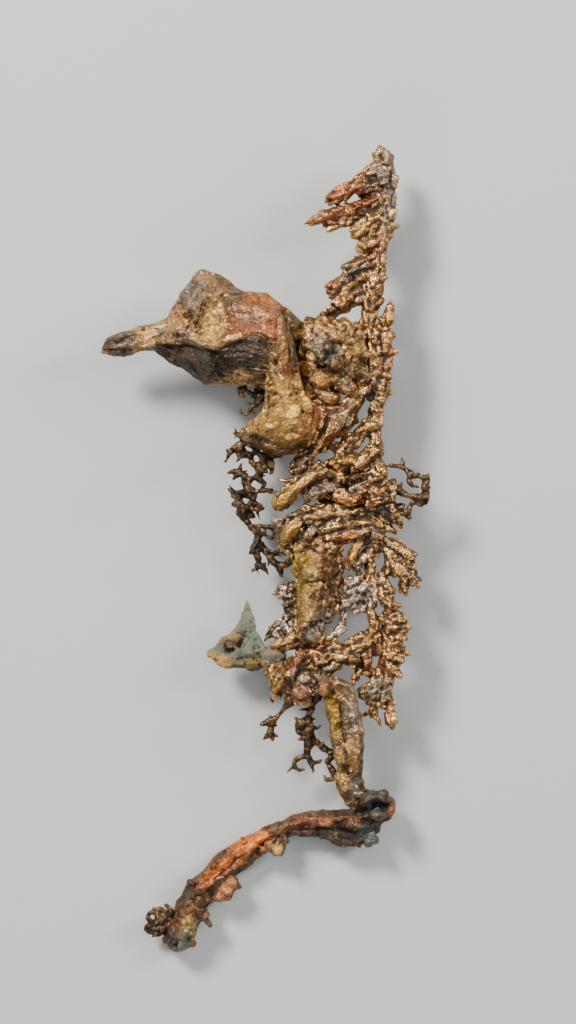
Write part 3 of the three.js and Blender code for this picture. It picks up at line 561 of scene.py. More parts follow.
# Each line is (height, width, places) in millimetres: a crest, or a fold where the height is
# below 0.
LOBE_CREASES = (
    (1.7, 0.6, [(-14.7, 43.4), (-12.8, 46.8), (-10.6, 50.2)]),
    (-1.1, 0.7, [(-16, 44), (-14, 47.4), (-12, 50.8)]),
    (0.8, 0.6, [(-12.8, 56), (-12.2, 53), (-10.6, 50.2), (-8.8, 51), (-7.4, 49.8), (-6.4, 48.4),
                (-4.2, 48), (-1, 48), (1, 47.6), (2.4, 46.4)]),
    (0.6, 0.5, [(-19, 47), (-17.2, 50.2), (-15.4, 52.8)]),
    (0.5, 0.5, [(-16.6, 51.5), (-14.6, 50), (-13.2, 52.8), (-12.6, 55)]),
    (0.5, 0.4, [(-17.4, 48.6), (-15.8, 45.6), (-16.4, 43.6)]),
    (0.6, 0.5, [(-10.6, 50.2), (-8.4, 48.6), (-7.8, 46), (-8.3, 43.6), (-7, 42.4)]),
    (0.9, 0.45, [(-22, 42.2), (-18.5, 42), (-15, 42.2), (-12.5, 41), (-10, 40.6), (-7, 42.2),
                 (-4, 43), (-1.4, 43.6), (1.4, 42.4)]),
    (-0.7, 0.6, [(-20, 41), (-15.5, 40.9), (-12.5, 39.9), (-10, 39.4), (-7, 40.8), (-3, 41.8)]),
    (0.7, 0.5, [(-31.6, 42.2), (-29, 43), (-26.5, 43.4), (-23, 44), (-20.5, 45)]),
    (0.6, 0.4, [(-31.8, 40.6), (-29, 41), (-26.5, 41.6), (-24.5, 41.4), (-21.5, 42)]),
    (-0.6, 0.4, [(-32.4, 40.6), (-30, 40.2), (-27, 40.4)]),
    (0.5, 0.4, [(-12.5, 33.8), (-10.4, 36.6), (-9.6, 39)]),
    (0.4, 0.4, [(-19, 38.4), (-16.6, 39.6), (-13.6, 38.2)]),
    (0.6, 0.5, [(3, 46.2), (3.6, 42), (4.2, 38), (3.6, 34.6)]),
    (-0.5, 0.35, [(4, 46.4), (4.7, 42), (5, 38)]),
    (0.6, 0.5, [(0.6, 40), (1.2, 36.4), (0.2, 33)]),
    (0.5, 0.5, [(-4.4, 24.4), (-1.6, 24), (1.6, 22.4), (5, 22.6), (8, 24)]),
)
FOOT_STREAKS = (
    (0.35, 5, 1.0, 5, 0.5, [(3, -52), (18, -51), (18, -60), (3, -60)]),
    (0.35, 4, 1.0, 40, 0.5, [(3, -54), (-14, -62), (-20, -74), (-10, -72), (2, -60)]),
    (0.35, 1.8, 1.8, 33, 0.5, [
        (3, -53), (18, -51), (26, -48), (26, -54), (18, -60), (2, -62), (-12, -72), (-22, -80)]),
)
FOOT_CREASES = (
    (0.8, 0.5, [(3.8, -55.4), (8, -54), (13, -54), (17, -53.6)]),
    (-0.7, 0.5, [(4, -56.4), (9, -56), (14, -56), (18, -57)]),
    (0.7, 0.5, [(18.6, -51), (20.4, -49.4), (23.6, -49.4), (25.4, -51.4)]),
    (0.8, 0.5, [(19, -53.6), (21.6, -52.4), (24.6, -53)]),
    (-0.8, 0.5, [(19, -52.2), (21.6, -50.8), (24, -51.2)]),
    (0.7, 0.5, [(3.6, -56.4), (-1, -58), (-5.4, -60.2), (-9, -63.4)]),
    (-0.6, 0.5, [(2.6, -58), (-2, -59.8), (-6, -62), (-10.4, -66)]),
    (0.6, 0.5, [(-11, -64), (-14, -68), (-16.4, -72)]),
    (0.6, 0.5, [(-12.6, -68.4), (-14.4, -72), (-16, -76), (-17.4, -79.6)]),
)
LEG_CREASES = (
    (0.9, 0.5, [(12.4, -29), (13.6, -32.6), (13.8, -36.6), (14.6, -40.4), (15.6, -44), (15.6, -48)]),
    (-0.6, 0.5, [(14.6, -30), (15, -35), (16, -40)]),
    (0.6, 0.5, [(17.4, -28), (17.2, -33.4), (18.4, -37), (17.8, -42), (18, -47)]),
    (0.5, 0.4, [(14.6, -36.6), (16.6, -40.4)]),
)


# Lines over the face waver at this scale in millimetres, with a salt for each direction.
LINE_WAVER = 2.2
LINE_SALTS = (41, 43)
# The first set's salts for its coarse and its fine grooves
GROOVE_SALTS = (31, 37)
# How soft the edge of a streaked part is, in millimetres
STREAK_EDGE = 0.4
# A soft edge's exponent is held within this, so that exp() never overflows.
STEEPEST = 40


def inside_share(edge, softness):
    """1 well inside the edge (far below 0), 0 well outside it, and a soft change between."""
    return 1 / (1 + np.exp(np.clip(edge / softness, -STEEPEST, STEEPEST)))


def creases(piece, lines):
    """Sharp crests, and folds where the height is below 0, along lines over the shown face."""
    mesh = piece.data
    places = vertex_places(mesh)
    normals = vertex_normals(mesh)
    flat = places[:, :2] / MM
    for i, salt in enumerate(LINE_SALTS):
        flat[:, i] += waver(places, LINE_WAVER, salt) * 0.3
    facing = np.clip(normals[:, 2] * 2 + 0.2, 0, 1)
    rise = np.zeros(len(places))
    for height, width, line in lines:
        corners = np.array(line, float)
        away = np.min([distance_to(flat, a, b) for a, b in zip(corners, corners[1:])], axis=0)
        rise += height * np.exp(-away / width)
    places += normals * (rise * facing * MM)[:, None]
    mesh.vertices.foreach_set("co", places.ravel())
    mesh.update()


def streaks(piece, sets):
    """Long grooves and rises that run one way over a part of the skin."""
    mesh = piece.data
    places = vertex_places(mesh)
    normals = vertex_normals(mesh)
    for number, (depth, long, wide, angle, spread, outline) in enumerate(sets):
        cosine = math.cos(math.radians(angle))
        sine = math.sin(math.radians(angle))
        turned = places @ np.array([[cosine, -sine, 0], [sine, cosine, 0], [0, 0, 1]])
        stretched = turned / np.array([long, wide, wide * 2])
        pattern = 0.5 - 1.6 * np.abs(waver(stretched, 1, GROOVE_SALTS[0] + number))
        pattern += 0.25 - 0.8 * np.abs(waver(stretched, 0.5, GROOVE_SALTS[1] + number))
        edge = distance_outside(places[:, :2] / MM, outline) - spread
        weight = inside_share(edge, STREAK_EDGE)
        places += normals * (pattern * weight * depth / 2 * MM)[:, None]
    mesh.vertices.foreach_set("co", places.ravel())
    mesh.update()


# --------------------------------------------------------------- what the finish reads


def neighbour_mean(values, edges, count):
    """The mean of each vertex's neighbours."""
    degree = np.bincount(edges.ravel(), minlength=count)
    total = np.empty_like(values)
    for i in range(values.shape[1]):
        total[:, i] = np.bincount(edges[:, 0], values[edges[:, 1], i], count)
        total[:, i] += np.bincount(edges[:, 1], values[edges[:, 0], i], count)
    return total / np.maximum(degree, 1)[:, None]


def hollows(mesh, stops):
    """How far the skin lies under (above 0) or over (below 0) its smoothed self, in metres.

    One result for each count of smoothing rounds in stops."""
    edges = np.empty(len(mesh.edges) * 2, np.int32)
    mesh.edges.foreach_get("vertices", edges)
    edges = edges.reshape(-1, 2)
    start = vertex_places(mesh)
    normals = vertex_normals(mesh)
    smoothed = start
    found = []
    for turn in range(1, max(stops) + 1):
        smoothed = neighbour_mean(smoothed, edges, len(start))
        if turn in stops:
            found.append(np.sum((smoothed - start) * normals, axis=1))
    return found


def store(mesh, name, values):
    attribute = mesh.attributes.new(name, "FLOAT", "POINT")
    attribute.data.foreach_set("value", values.astype(np.float32))


# How many rounds of smoothing, and the depth in millimetres that counts as a whole hollow
WEAR_AND_SHADING_ROUNDS = (2, 10, 45)
WEAR_AND_SHADING_DEPTHS = (0.06, 0.15, 0.28)


def store_wear_and_shading(mesh, wear_and_shading):
    """Hollow and crest values from 0 to 1, from the skin's shape near by and further off. The finish
    darkens the hollows with dirt and painted shade, and lightens the crests as worn metal and a painted
    highlight.
    """
    found = hollows(mesh, WEAR_AND_SHADING_ROUNDS)
    depth = wear_and_shading * sum(hollow / (whole * MM) for hollow, whole in zip(found, WEAR_AND_SHADING_DEPTHS))
    store(mesh, "crevice_dirt_and_shade", np.clip(depth * 0.5, 0, 1))
    store(mesh, "crest", np.clip(-depth * 0.5, 0, 1))


def store_tint(mesh, centres, random):
    """tint: one value for each crystal, on the skin that is nearest to it."""
    if not len(centres):
        store(mesh, "tint", np.full(len(mesh.vertices), 0.5))
        return
    tree = kdtree.KDTree(len(centres))
    for i, centre in enumerate(centres):
        tree.insert(centre, i)
    tree.balance()
    tints = random.random(len(centres))
    nearest = [tree.find(place)[1] for place in vertex_places(mesh).tolist()]
    store(mesh, "tint", tints[nearest])


# Large primes that scatter a cell's whole numbers
PRIMES = (73856093, 19349663, 83492791)
LAST_PRIME = 1274126177


def lattice(cells, salt):
    """A repeatable number from 0 to 1 for each whole-numbered cell."""
    x, y, z = (cells[..., i] * prime for i, prime in enumerate(PRIMES))
    mixed = x ^ y ^ z ^ salt
    mixed = (mixed ^ (mixed >> 13)) * LAST_PRIME
    return ((mixed ^ (mixed >> 16)) & 0xFFFF) / 0xFFFF


def waver(places, scale, salt):
    """Smooth noise from -1 to 1 over the places, of that scale in millimetres."""
    grid = places / (scale * MM)
    cell = np.floor(grid).astype(np.int64)
    part = grid - cell
    part = part * part * (3 - 2 * part)
    total = np.zeros(len(places))
    for dx in (0, 1):
        for dy in (0, 1):
            for dz in (0, 1):
                corner = np.array([dx, dy, dz])
                weight = np.prod(np.abs(1 - corner - part), axis=1)
                total += weight * lattice(cell + corner, salt)
    return total * 2 - 1


def distance_to(points, start, end):
    """How far each (x, y) is from the straight line between two places."""
    step = end - start
    square = step @ step
    t = np.clip((points - start) @ step / square, 0, 1) if square else np.zeros(len(points))
    return np.linalg.norm(points - start - t[:, None] * step, axis=1)


def distance_outside(points, outline):
    """How far each (x, y) is from an outline's edge, in millimetres: below 0 inside it."""
    corners = np.array(outline, float)
    nearest = np.full(len(points), np.inf)
    inside = np.zeros(len(points), bool)
    for start, end in zip(corners, np.roll(corners, -1, axis=0)):
        step = end - start
        nearest = np.minimum(nearest, distance_to(points, start, end))
        if start[1] != end[1]:
            crossing = start[0] + (points[:, 1] - start[1]) * step[0] / step[1]
            spanned = (points[:, 1] < start[1]) != (points[:, 1] < end[1])
            inside ^= spanned & (points[:, 0] < crossing)
    return np.where(inside, -nearest, nearest)


# How soft the edge of a film is, and the share of cover under which there is none
FILM_EDGE = 0.45
NO_FILM = 1e-4


def store_stain(mesh, zones):
    """stain: the colour of the film that lies on each place, and how much of it there is.

    A zone is (colour, strength, spread, outline): the film covers the outline and spreads
    past it by that many millimetres, with a ragged edge."""
    places = vertex_places(mesh)
    flat = places[:, :2] / MM
    ragged = waver(places, 1.6, 5) * 0.7 + waver(places, 0.6, 11) * 0.45
    film = np.zeros((len(places), 4))
    for name, strength, spread, outline in zones:
        shade = np.array(getattr(colours(), name))
        edge = distance_outside(flat, outline) - spread + ragged
        cover = strength * inside_share(edge, FILM_EDGE)
        film[:, :3] = film[:, :3] * (1 - cover[:, None]) + shade * cover[:, None]
        film[:, 3] = film[:, 3] * (1 - cover) + cover
    covered = film[:, 3:] > NO_FILM
    film[:, :3] = np.where(covered, film[:, :3] / np.maximum(film[:, 3:], NO_FILM), 0)
    attribute = mesh.attributes.new("stain", "FLOAT_COLOR", "POINT")
    attribute.data.foreach_set("color", film.astype(np.float32).ravel())


# ------------------------------------------------------------------------- node groups


def group_socket(group, name, kind, direction, default=None):
    socket_type = "NodeSocket" + kind
    socket = group.interface.new_socket(name=name, in_out=direction, socket_type=socket_type)
    if default is not None:
        socket.default_value = default


class Nodes:
    """Adds and links nodes in one tree."""

    def __init__(self, tree):
        self.tree = tree

    def add(self, kind, values=None, **settings):
        node = self.tree.nodes.new(kind)
        for name, value in settings.items():
            setattr(node, name, value)
        for name, value in (values or {}).items():
            if isinstance(value, bpy.types.NodeSocket):
                self.tree.links.new(value, node.inputs[name])
            else:
                node.inputs[name].default_value = value
        return node

    def math(self, operation, first, second=0.5, clamp=False):
        values = {0: first, 1: second}
        return self.add("ShaderNodeMath", values, operation=operation, use_clamp=clamp).outputs[0]

    def vector(self, operation, values, output=0):
        return self.add("ShaderNodeVectorMath", values, operation=operation).outputs[output]

    def mix(self, factor, first, second, blend="MIX"):
        node = self.add("ShaderNodeMix", data_type="RGBA", blend_type=blend)
        for index, value in ((0, factor), (6, first), (7, second)):
            if isinstance(value, bpy.types.NodeSocket):
                self.tree.links.new(value, node.inputs[index])
            else:
                node.inputs[index].default_value = value
        return node.outputs[2]

    def attribute(self, name):
        return self.add("ShaderNodeAttribute", attribute_name=name, attribute_type="GEOMETRY")

    def remap(self, value, low, high, out_low=0.0, out_high=1.0):
        node = self.add("ShaderNodeMapRange", {
            "Value": value, "From Min": low, "From Max": high, "To Min": out_low,
            "To Max": out_high,
        })
        return node.outputs["Result"]


def opaque(rgb):
    return (*rgb, 1.0)


METALS = ("Main", "Second", "Third")
USUAL_METAL = (0.5, 0.3, 0.1, 1)
# The Patina group's inputs besides its three metal colours. Sizes are in millimetres, and the rest are
# shares from 0 to 1. Shine sets how far the crests are lightened, as worn metal and as a painted
# highlight.
PATINA_VALUES = {
    "Mottle Size": 1.5, "Grain Size": 0.4, "Roughness": 0.4, "Metal": 0.8, "Shine": 0.6,
    "Facet Size": 2.0, "Facets": 0.0,
}
# A crystal's brightness comes from the digits of its tint behind this multiple.
BRIGHTNESS_MULTIPLE = 7.3
# What a worn crest with a painted highlight does to the red, green and blue of its metal
RUBBED_AND_HIGHLIGHT = (2.3, 2.15, 1.9, 1)
MIDDLE_GREY = (0.5, 0.5, 0.5)


def patina_group():
    """Colour, roughness, metal and height of old copper, from its tints and films, its worn crests with
    a painted highlight, its hollows darkened with dirt and painted shade, and painted light and shade on
    its tilted facets.
    """
    group = bpy.data.node_groups.get("Patina")
    if group:
        return group
    group = bpy.data.node_groups.new("Patina", "ShaderNodeTree")
    for name in METALS:
        group_socket(group, name, "Color", "INPUT", USUAL_METAL)
    for name, default in PATINA_VALUES.items():
        group_socket(group, name, "Float", "INPUT", default)
    group_socket(group, "Colour", "Color", "OUTPUT")
    for name in ("Roughness", "Metal", "Height"):
        group_socket(group, name, "Float", "OUTPUT")

    nodes = Nodes(group)
    given = nodes.add("NodeGroupInput").outputs
    place = nodes.add("ShaderNodeTexCoord").outputs["Object"]
    crevice_dirt_and_shade = nodes.attribute("crevice_dirt_and_shade").outputs["Fac"]
    crest = nodes.attribute("crest").outputs["Fac"]
    tint = nodes.attribute("tint").outputs["Fac"]
    stain = nodes.attribute("stain")

    mottle_scale = nodes.math("DIVIDE", 1 / MM, given["Mottle Size"])
    mottle = nodes.add("ShaderNodeTexNoise", {
        "Vector": place, "Scale": mottle_scale, "Detail": 4, "Roughness": 0.65, "Distortion": 0.6,
    }).outputs
    slow = nodes.add("ShaderNodeTexNoise", {
        "Vector": place, "Scale": 0.16 / MM, "Detail": 3,
    }).outputs
    grain_scale = nodes.math("DIVIDE", 1 / MM, given["Grain Size"])
    grain = nodes.add("ShaderNodeTexVoronoi", {
        "Vector": place, "Scale": grain_scale, "Randomness": 1.0,
    }).outputs
    fine_scale = nodes.math("MULTIPLY", grain_scale, 1.4)
    fine = nodes.add("ShaderNodeTexNoise", {
        "Vector": place, "Scale": fine_scale, "Detail": 3, "Roughness": 0.6,
    }).outputs["Fac"]

    # Cleaved facets: cells of the surface, each tilted its own way, with a dark seam between. Each
    # facet's colour is also painted lighter or darker with its tilt, as painted light and shade.
    noise = nodes.add("ShaderNodeTexNoise", {"Vector": place, "Scale": 0.4 / MM, "Detail": 2})
    bend = nodes.vector("SUBTRACT", {0: noise.outputs["Color"], 1: MIDDLE_GREY})
    bend = nodes.vector("SCALE", {0: bend, "Scale": 3 * MM})
    bent = nodes.vector("ADD", {0: place, 1: bend})
    facet_scale = nodes.math("DIVIDE", 1 / MM, given["Facet Size"])
    cells = {"Vector": bent, "Scale": facet_scale}
    cell = nodes.add("ShaderNodeTexVoronoi", cells).outputs
    edges = nodes.add("ShaderNodeTexVoronoi", cells, feature="DISTANCE_TO_EDGE").outputs
    away = nodes.vector("SUBTRACT", {0: bent, 1: cell["Position"]})
    slope = nodes.vector("SUBTRACT", {0: cell["Color"], 1: MIDDLE_GREY})
    tilt = nodes.vector("DOT_PRODUCT", {0: away, 1: slope}, "Value")
    tilt = nodes.math("MULTIPLY", nodes.math("MULTIPLY", tilt, 7 / MM), given["Facets"])
    seam = nodes.math("MULTIPLY", nodes.remap(edges["Distance"], 0, 0.07, 1, 0), given["Facets"])
    facet_light_tilt = nodes.add("ShaderNodeSeparateColor", {"Color": cell["Color"]}).outputs[0]
    facet_light_tilt = nodes.math("MULTIPLY", nodes.math("SUBTRACT", facet_light_tilt, 0.5), given["Facets"])

    # Each crystal leans to one tint, and a mottle runs across them all.
    lean = nodes.math("MULTIPLY", tint, 0.6)
    lean = nodes.math("ADD", lean, nodes.math("MULTIPLY", slow["Fac"], 0.9))
    lean = nodes.math("ADD", lean, nodes.math("MULTIPLY", mottle["Fac"], 0.5))
    to_second = nodes.remap(lean, 0.93, 1.2)
    to_third = nodes.remap(lean, 0.92, 0.66)
    base = nodes.mix(to_second, given["Main"], given["Second"])
    base = nodes.mix(to_third, base, given["Third"])

    # Films lie on the metal in ragged patches.
    ragged = nodes.remap(mottle["Fac"], 0, 1, -0.45, 0.45)
    ragged = nodes.math("ADD", stain.outputs["Alpha"], ragged)
    cover = nodes.math("MULTIPLY", nodes.remap(ragged, 0.1, 0.65), 0.92)
    base = nodes.mix(cover, base, stain.outputs["Color"])

    # Light and dark specks and crystals, and painted light and shade on the facets. Then worn metal on
    # the crests, lightened further as a painted highlight, the hollows darkened with dirt and painted
    # shade, and the dark seams.
    speck = nodes.remap(fine, 0.3, 0.72, 0.68, 1.35)
    base = nodes.mix(1.0, base, speck, "MULTIPLY")
    shade = nodes.math("FRACT", nodes.math("MULTIPLY", tint, BRIGHTNESS_MULTIPLE))
    base = nodes.mix(1.0, base, nodes.remap(shade, 0, 1, 0.5, 1.4), "MULTIPLY")
    # Painted light and shade: each facet lighter or darker with its tilt, and faceted finishes lifted a
    # little overall.
    painted_facet_light = nodes.remap(facet_light_tilt, -0.5, 0.5, 0.7, 1.3)
    painted_facet_light = nodes.math("ADD", painted_facet_light, nodes.math("MULTIPLY", given["Facets"], 0.24))
    base = nodes.mix(1.0, base, painted_facet_light, "MULTIPLY")
    # Crests lightened: worn metal, and a painted highlight.
    rubbed_and_highlight = nodes.math("MULTIPLY", nodes.remap(crest, 0.25, 0.9), given["Shine"])
    rubbed_and_highlight = nodes.math("MULTIPLY", rubbed_and_highlight, nodes.remap(cover, 0, 1, 1, 0.35))
    rubbed_highlight_colour = nodes.mix(1.0, base, RUBBED_AND_HIGHLIGHT, "MULTIPLY")
    rubbed_highlight_colour = nodes.mix(0.25, rubbed_highlight_colour, opaque(colours().golden))
    base = nodes.mix(rubbed_and_highlight, base, rubbed_highlight_colour)
    # Darker in the hollows: dirt, and painted shade.
    dirt_and_shade = nodes.math("ADD", crevice_dirt_and_shade, nodes.math("MULTIPLY", mottle["Fac"], 0.2))
    dirt_and_shade = nodes.remap(dirt_and_shade, 0.12, 0.6)
    base = nodes.mix(nodes.math("MULTIPLY", dirt_and_shade, 0.93), base, opaque(colours().crevice_dirt_and_shade))
    base = nodes.mix(nodes.math("MULTIPLY", seam, 0.4), base, opaque(colours().crevice_dirt_and_shade))

    rough = nodes.math("ADD", given["Roughness"], nodes.remap(fine, 0.3, 0.7, -0.12, 0.16))
    rough = nodes.math("ADD", rough, nodes.math("MULTIPLY", rubbed_and_highlight, -0.14))
    rough = nodes.math("ADD", rough, nodes.math("MULTIPLY", dirt_and_shade, 0.3), clamp=True)
    metal = nodes.math("MULTIPLY", given["Metal"], nodes.remap(dirt_and_shade, 0, 1, 1, 0.35))
    metal = nodes.math("MULTIPLY", metal, nodes.remap(cover, 0, 1, 1, 0.8), clamp=True)
    height = nodes.math("MULTIPLY", grain["Distance"], -0.8)
    height = nodes.math("ADD", height, nodes.math("MULTIPLY", fine, 0.9))
    height = nodes.math("ADD", height, nodes.math("SUBTRACT", tilt, seam))

    out = nodes.add("NodeGroupOutput")
    results = {"Colour": base, "Roughness": rough, "Metal": metal, "Height": height}
    for name, value in results.items():
        group.links.new(value, out.inputs[name])
    return group


# The depth of a finish's fine bumps in millimetres, and of those that differ
USUAL_BUMP = 0.12
BUMP_DEPTHS = {"massive_copper": 0.2}
# Each finish has its main, second and third metal colour, and the patina values that differ
# from the usual ones.
FINISHES = {
    "massive_copper": (
        ("brown", "golden", "grey"),
        {"Mottle Size": 1.8, "Grain Size": 0.8, "Roughness": 0.38, "Metal": 0.65, "Shine": 0.7,
         "Facets": 0.8, "Facet Size": 3.0}),
    "knobby_copper": (
        ("brown", "golden", "ochre"),
        {"Roughness": 0.34, "Metal": 0.85, "Shine": 1.0, "Facets": 0.6}),
    "beaded_copper": (
        ("brown", "golden", "pink"), {"Roughness": 0.27, "Metal": 0.95, "Shine": 0.8}),
    "leafy_copper": (
        ("brown", "golden", "dark"), {"Roughness": 0.27, "Metal": 0.95, "Shine": 0.7}),
    "gritty_copper": (("brown", "golden", "rust"), {"Roughness": 0.36, "Facets": 0.5}),
    "fingered_copper": (
        ("brown", "golden", "grey"), {"Roughness": 0.26, "Metal": 0.92, "Shine": 0.75}),
    "silvery_copper": (
        ("grey", "silver", "brown"), {"Roughness": 0.3, "Metal": 0.85, "Shine": 0.9}),
    "pearly_copper": (
        ("dark", "silver", "brown"), {"Roughness": 0.28, "Metal": 0.85, "Shine": 0.9}),
    "wiry_copper": (
        ("brown", "dark", "dark"), {"Roughness": 0.34, "Metal": 0.85, "Shine": 0.4}),
    "dark_wiry_copper": (
        ("dark", "brown", "dark"), {"Roughness": 0.34, "Metal": 0.85, "Shine": 0.3}),
    "green_crust": (
        ("green", "grey", "green"),
        {"Mottle Size": 0.8, "Grain Size": 0.3, "Roughness": 0.85, "Metal": 0.1, "Shine": 0.15}),
    "rusty_copper": (
        ("rust", "dark", "brown"),
        {"Mottle Size": 1.6, "Roughness": 0.42, "Metal": 0.55, "Shine": 0.5, "Facets": 0.8,
         "Facet Size": 2.2}),
}


def copper_material(name):
    """The material of one finish, made the first time that it is asked for."""
    material = bpy.data.materials.get(name + "_finish")
    if material:
        return material
    material = bpy.data.materials.new(name + "_finish")
    material.use_nodes = True
    metals, values = FINISHES[name]
    settings = {**PATINA_VALUES, **values}
    for key, metal in zip(METALS, metals):
        settings[key] = opaque(getattr(colours(), metal))
    nodes = Nodes(material.node_tree)
    patina = nodes.add("ShaderNodeGroup", settings, node_tree=patina_group()).outputs
    bump = nodes.add("ShaderNodeBump", {
        "Strength": 1.0, "Distance": BUMP_DEPTHS.get(name, USUAL_BUMP) * MM,
        "Height": patina["Height"],
    }).outputs["Normal"]
    shader = material.node_tree.nodes["Principled BSDF"]
    link = material.node_tree.links.new
    link(patina["Colour"], shader.inputs["Base Color"])
    link(patina["Roughness"], shader.inputs["Roughness"])
    link(patina["Metal"], shader.inputs["Metallic"])
    link(bump, shader.inputs["Normal"])
    return material


# ------------------------------------------------------------------- finishing a branch


def finish_branch(piece, node, slot, centres=(), zones=(), wear_and_shading=0.8):
    """Worn crests with a painted highlight, hollows darkened with dirt and painted shade, tints, films,
    the slot's finish and the place in the frame for one branch.
    """
    keep_inside(piece)
    mesh = piece.data
    store_wear_and_shading(mesh, wear_and_shading)
    store_tint(mesh, centres, random_for(node + "_tint"))
    store_stain(mesh, zones)
    mesh.materials.clear()
    mesh.materials.append(copper_material(slot))
    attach(piece, "root")
    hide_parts(node)


def crystal_relief(piece, depth=1.0):
    """A slow unevenness of 1.5 mm, and grains of half that on it."""
    relief(piece, "clouds", "CLOUDS", 1.5, 0.36 * depth, noise_depth=3)
    grains(piece, 0.75, 0.07 * depth)


def grown_branch(node, slot, cobs, wires=(), crusts=(), root=(0, 0, 0), zones=(), swell=-0.45,
                 kernel=1.25, depth=1.0, stout=1.15, wear_and_shading=1.0, long=1.0):
    """A branch of cobs, wires and crusts round its slimmed solid, all fused in one skin.

    swell is in millimetres and below 0 to slim the solid. kernel, stout and long are those of Pile.cob.
    depth deepens the relief, and the setting for worn crests and dirty hollows deepens them, with their
    painted highlight and painted shade."""
    core = core_of(node, swell)
    pile = Pile(node + "_crystals")
    for crust in crusts:
        pile.crust(core, root, **crust)
    for route in cobs:
        pile.cob(route, kernel, stout, long)
    for route in wires:
        pile.strand(route)
    parts = [core, new_object(pile.name, pile.mesh())]
    piece = fuse(node + "_grown", parts, sizes().crystal_grain)
    crystal_relief(piece, depth)
    finish_branch(piece, node, slot, np.concatenate(pile.centres), zones, wear_and_shading)


def drawn_branch(node, slot, wires, thorns=0.0):
    """A branch of thin wires and twigs, drawn through their stations and fused in one skin."""
    pile = Pile(node + "_wires")
    for route in wires:
        pile.strand(route, thorns=thorns)
    piece = fuse(node + "_grown", [new_object(pile.name, pile.mesh())], sizes().wire_grain)
    crystal_relief(piece, 0.45)
    finish_branch(piece, node, slot, np.concatenate(pile.centres))


# ----------------------------------------------------------------- routes of the branches

# A route is a ridge, cob, wire or twig through stations of (x, y, z, radius) in millimetres.

RIDGE_ROUTES = (
    [(-32.4, 40.5, 12, 0.6), (-31.2, 41.7, 12.6, 0.9), (-29, 42.4, 13.2, 1.1), (-27, 42.6, 13.4, 0.9)],
    [(-32.3, 40, 12, 0.6), (-30, 39.9, 12.4, 0.7), (-27, 40.2, 12.8, 0.8), (-25, 41.2, 13.4, 0.6)],
    [(2.4, 43, 18.6, 2.6), (2.8, 39, 19.2, 2.5), (3, 35.4, 19.4, 2.6), (3.2, 32, 19.2, 2.9),
     (3, 29, 18.8, 3.1), (2.4, 26, 18, 3.2), (2.4, 23.4, 17, 2.6)],
    [(5.4, 30, 18.4, 2), (7.4, 27.6, 18, 2.2), (6.6, 24.6, 17.4, 2.2)],
    [(1.4, 28, 18.4, 2), (-1, 26, 17.6, 1.8), (-3.4, 24.4, 16.6, 1.5)],
    [(-5.8, 24, 15.6, 0.7), (-4.2, 23.8, 16.4, 0.9), (-2, 22.8, 17, 1), (0.6, 22, 17.4, 1)],
    [(8.4, 30.4, 16, 1.4), (9.6, 28, 16, 1.5), (9, 25.4, 15.6, 1.5), (7.8, 22.8, 15, 1.4)],
)

KNOB_ROUTES = (
    [(6.4, 44, 12.6, 1.8), (9.4, 44.2, 13, 2.2), (12.6, 43.4, 13.4, 2.2), (16, 42.6, 12.6, 2)],
    [(8, 40.6, 13, 2.4), (11, 39.2, 14, 2.3), (14.6, 38.4, 14, 2.3), (18.2, 37.4, 12.6, 1.8)],
    [(8.4, 36.4, 13, 2), (11.6, 34.4, 14.2, 2), (14.6, 34.6, 14, 2), (17.6, 34, 13, 1.6)],
    [(9, 32.4, 13, 1.7), (11.6, 31, 13.4, 1.7), (13.8, 30.8, 13, 1.5)],
)

SPIRE_ROUTES = (
    [(19.9, 44, 12, 0.9), (20.3, 46.5, 12, 1.1), (20.6, 48.6, 12, 1.2), (21.3, 50.4, 12, 1.3),
     (21.7, 52.4, 12, 1.45), (21.8, 54.4, 12, 1.45), (22.6, 56.9, 11.8, 1.25), (22.4, 59.1, 11.8, 1.05),
     (22.6, 61.2, 11.8, 1.4), (23, 63.8, 11.6, 1.4), (23.9, 66.6, 11.4, 1.65), (24, 69.4, 11.2, 1.65),
     (24.1, 72.2, 11, 1.5), (23.7, 75, 10.8, 1.9), (23.4, 77.4, 10.8, 1.75), (23.1, 79, 10.6, 1.3),
     (22.9, 80.2, 10.4, 0.85), (22.8, 81, 10.4, 0.4)],
    [(24, 78.4, 11, 1), (22.4, 77, 11.4, 1.2), (20.6, 75.4, 11.8, 1.2), (18.6, 73.8, 12, 1.15),
     (16.4, 72.4, 12, 1.05), (14, 71.1, 12, 0.95), (12, 70.2, 12, 0.5)],
    [(23.6, 74.6, 11.4, 1.3), (22, 73.4, 11.8, 1.3), (20.4, 72.4, 12, 1.0), (18.6, 71.8, 12, 0.7)],
    [(23.4, 71.8, 11.2, 1.2), (21.6, 70.4, 11.6, 1.3), (19.4, 69.4, 12, 1.25), (17, 68.5, 12.2, 1.2),
     (14.4, 67.9, 12.2, 1.15), (12, 67.2, 12.2, 1), (9.8, 66.5, 12, 0.8), (7.9, 65.8, 12, 0.35)],
    [(20.6, 67.8, 11.4, 0.9), (18.4, 67.3, 11.6, 0.9), (15.8, 66.6, 11.6, 1.05), (13.4, 65.6, 11.6, 1),
     (11.6, 65.4, 11.6, 0.5)],
    [(23, 67.4, 11.6, 1.3), (21.2, 66.2, 12, 1.35), (19.4, 64.9, 12.2, 1.45), (17.8, 63.4, 12.2, 1.1)],
    [(22.4, 62.8, 12, 1.2), (20.6, 61.6, 12.2, 1.3), (18.9, 60.7, 12.2, 1.25)],
    [(22.2, 58.8, 12, 1), (20.6, 58, 12, 0.9)],
    [(24.2, 64.6, 11.4, 0.9), (25.2, 66, 11.4, 0.7)],
    [(23.2, 55.4, 11.8, 0.9), (24.2, 55, 11.6, 0.5)],
    [(24.4, 46.4, 12, 0.9), (24.2, 45, 12, 0.5)],
)

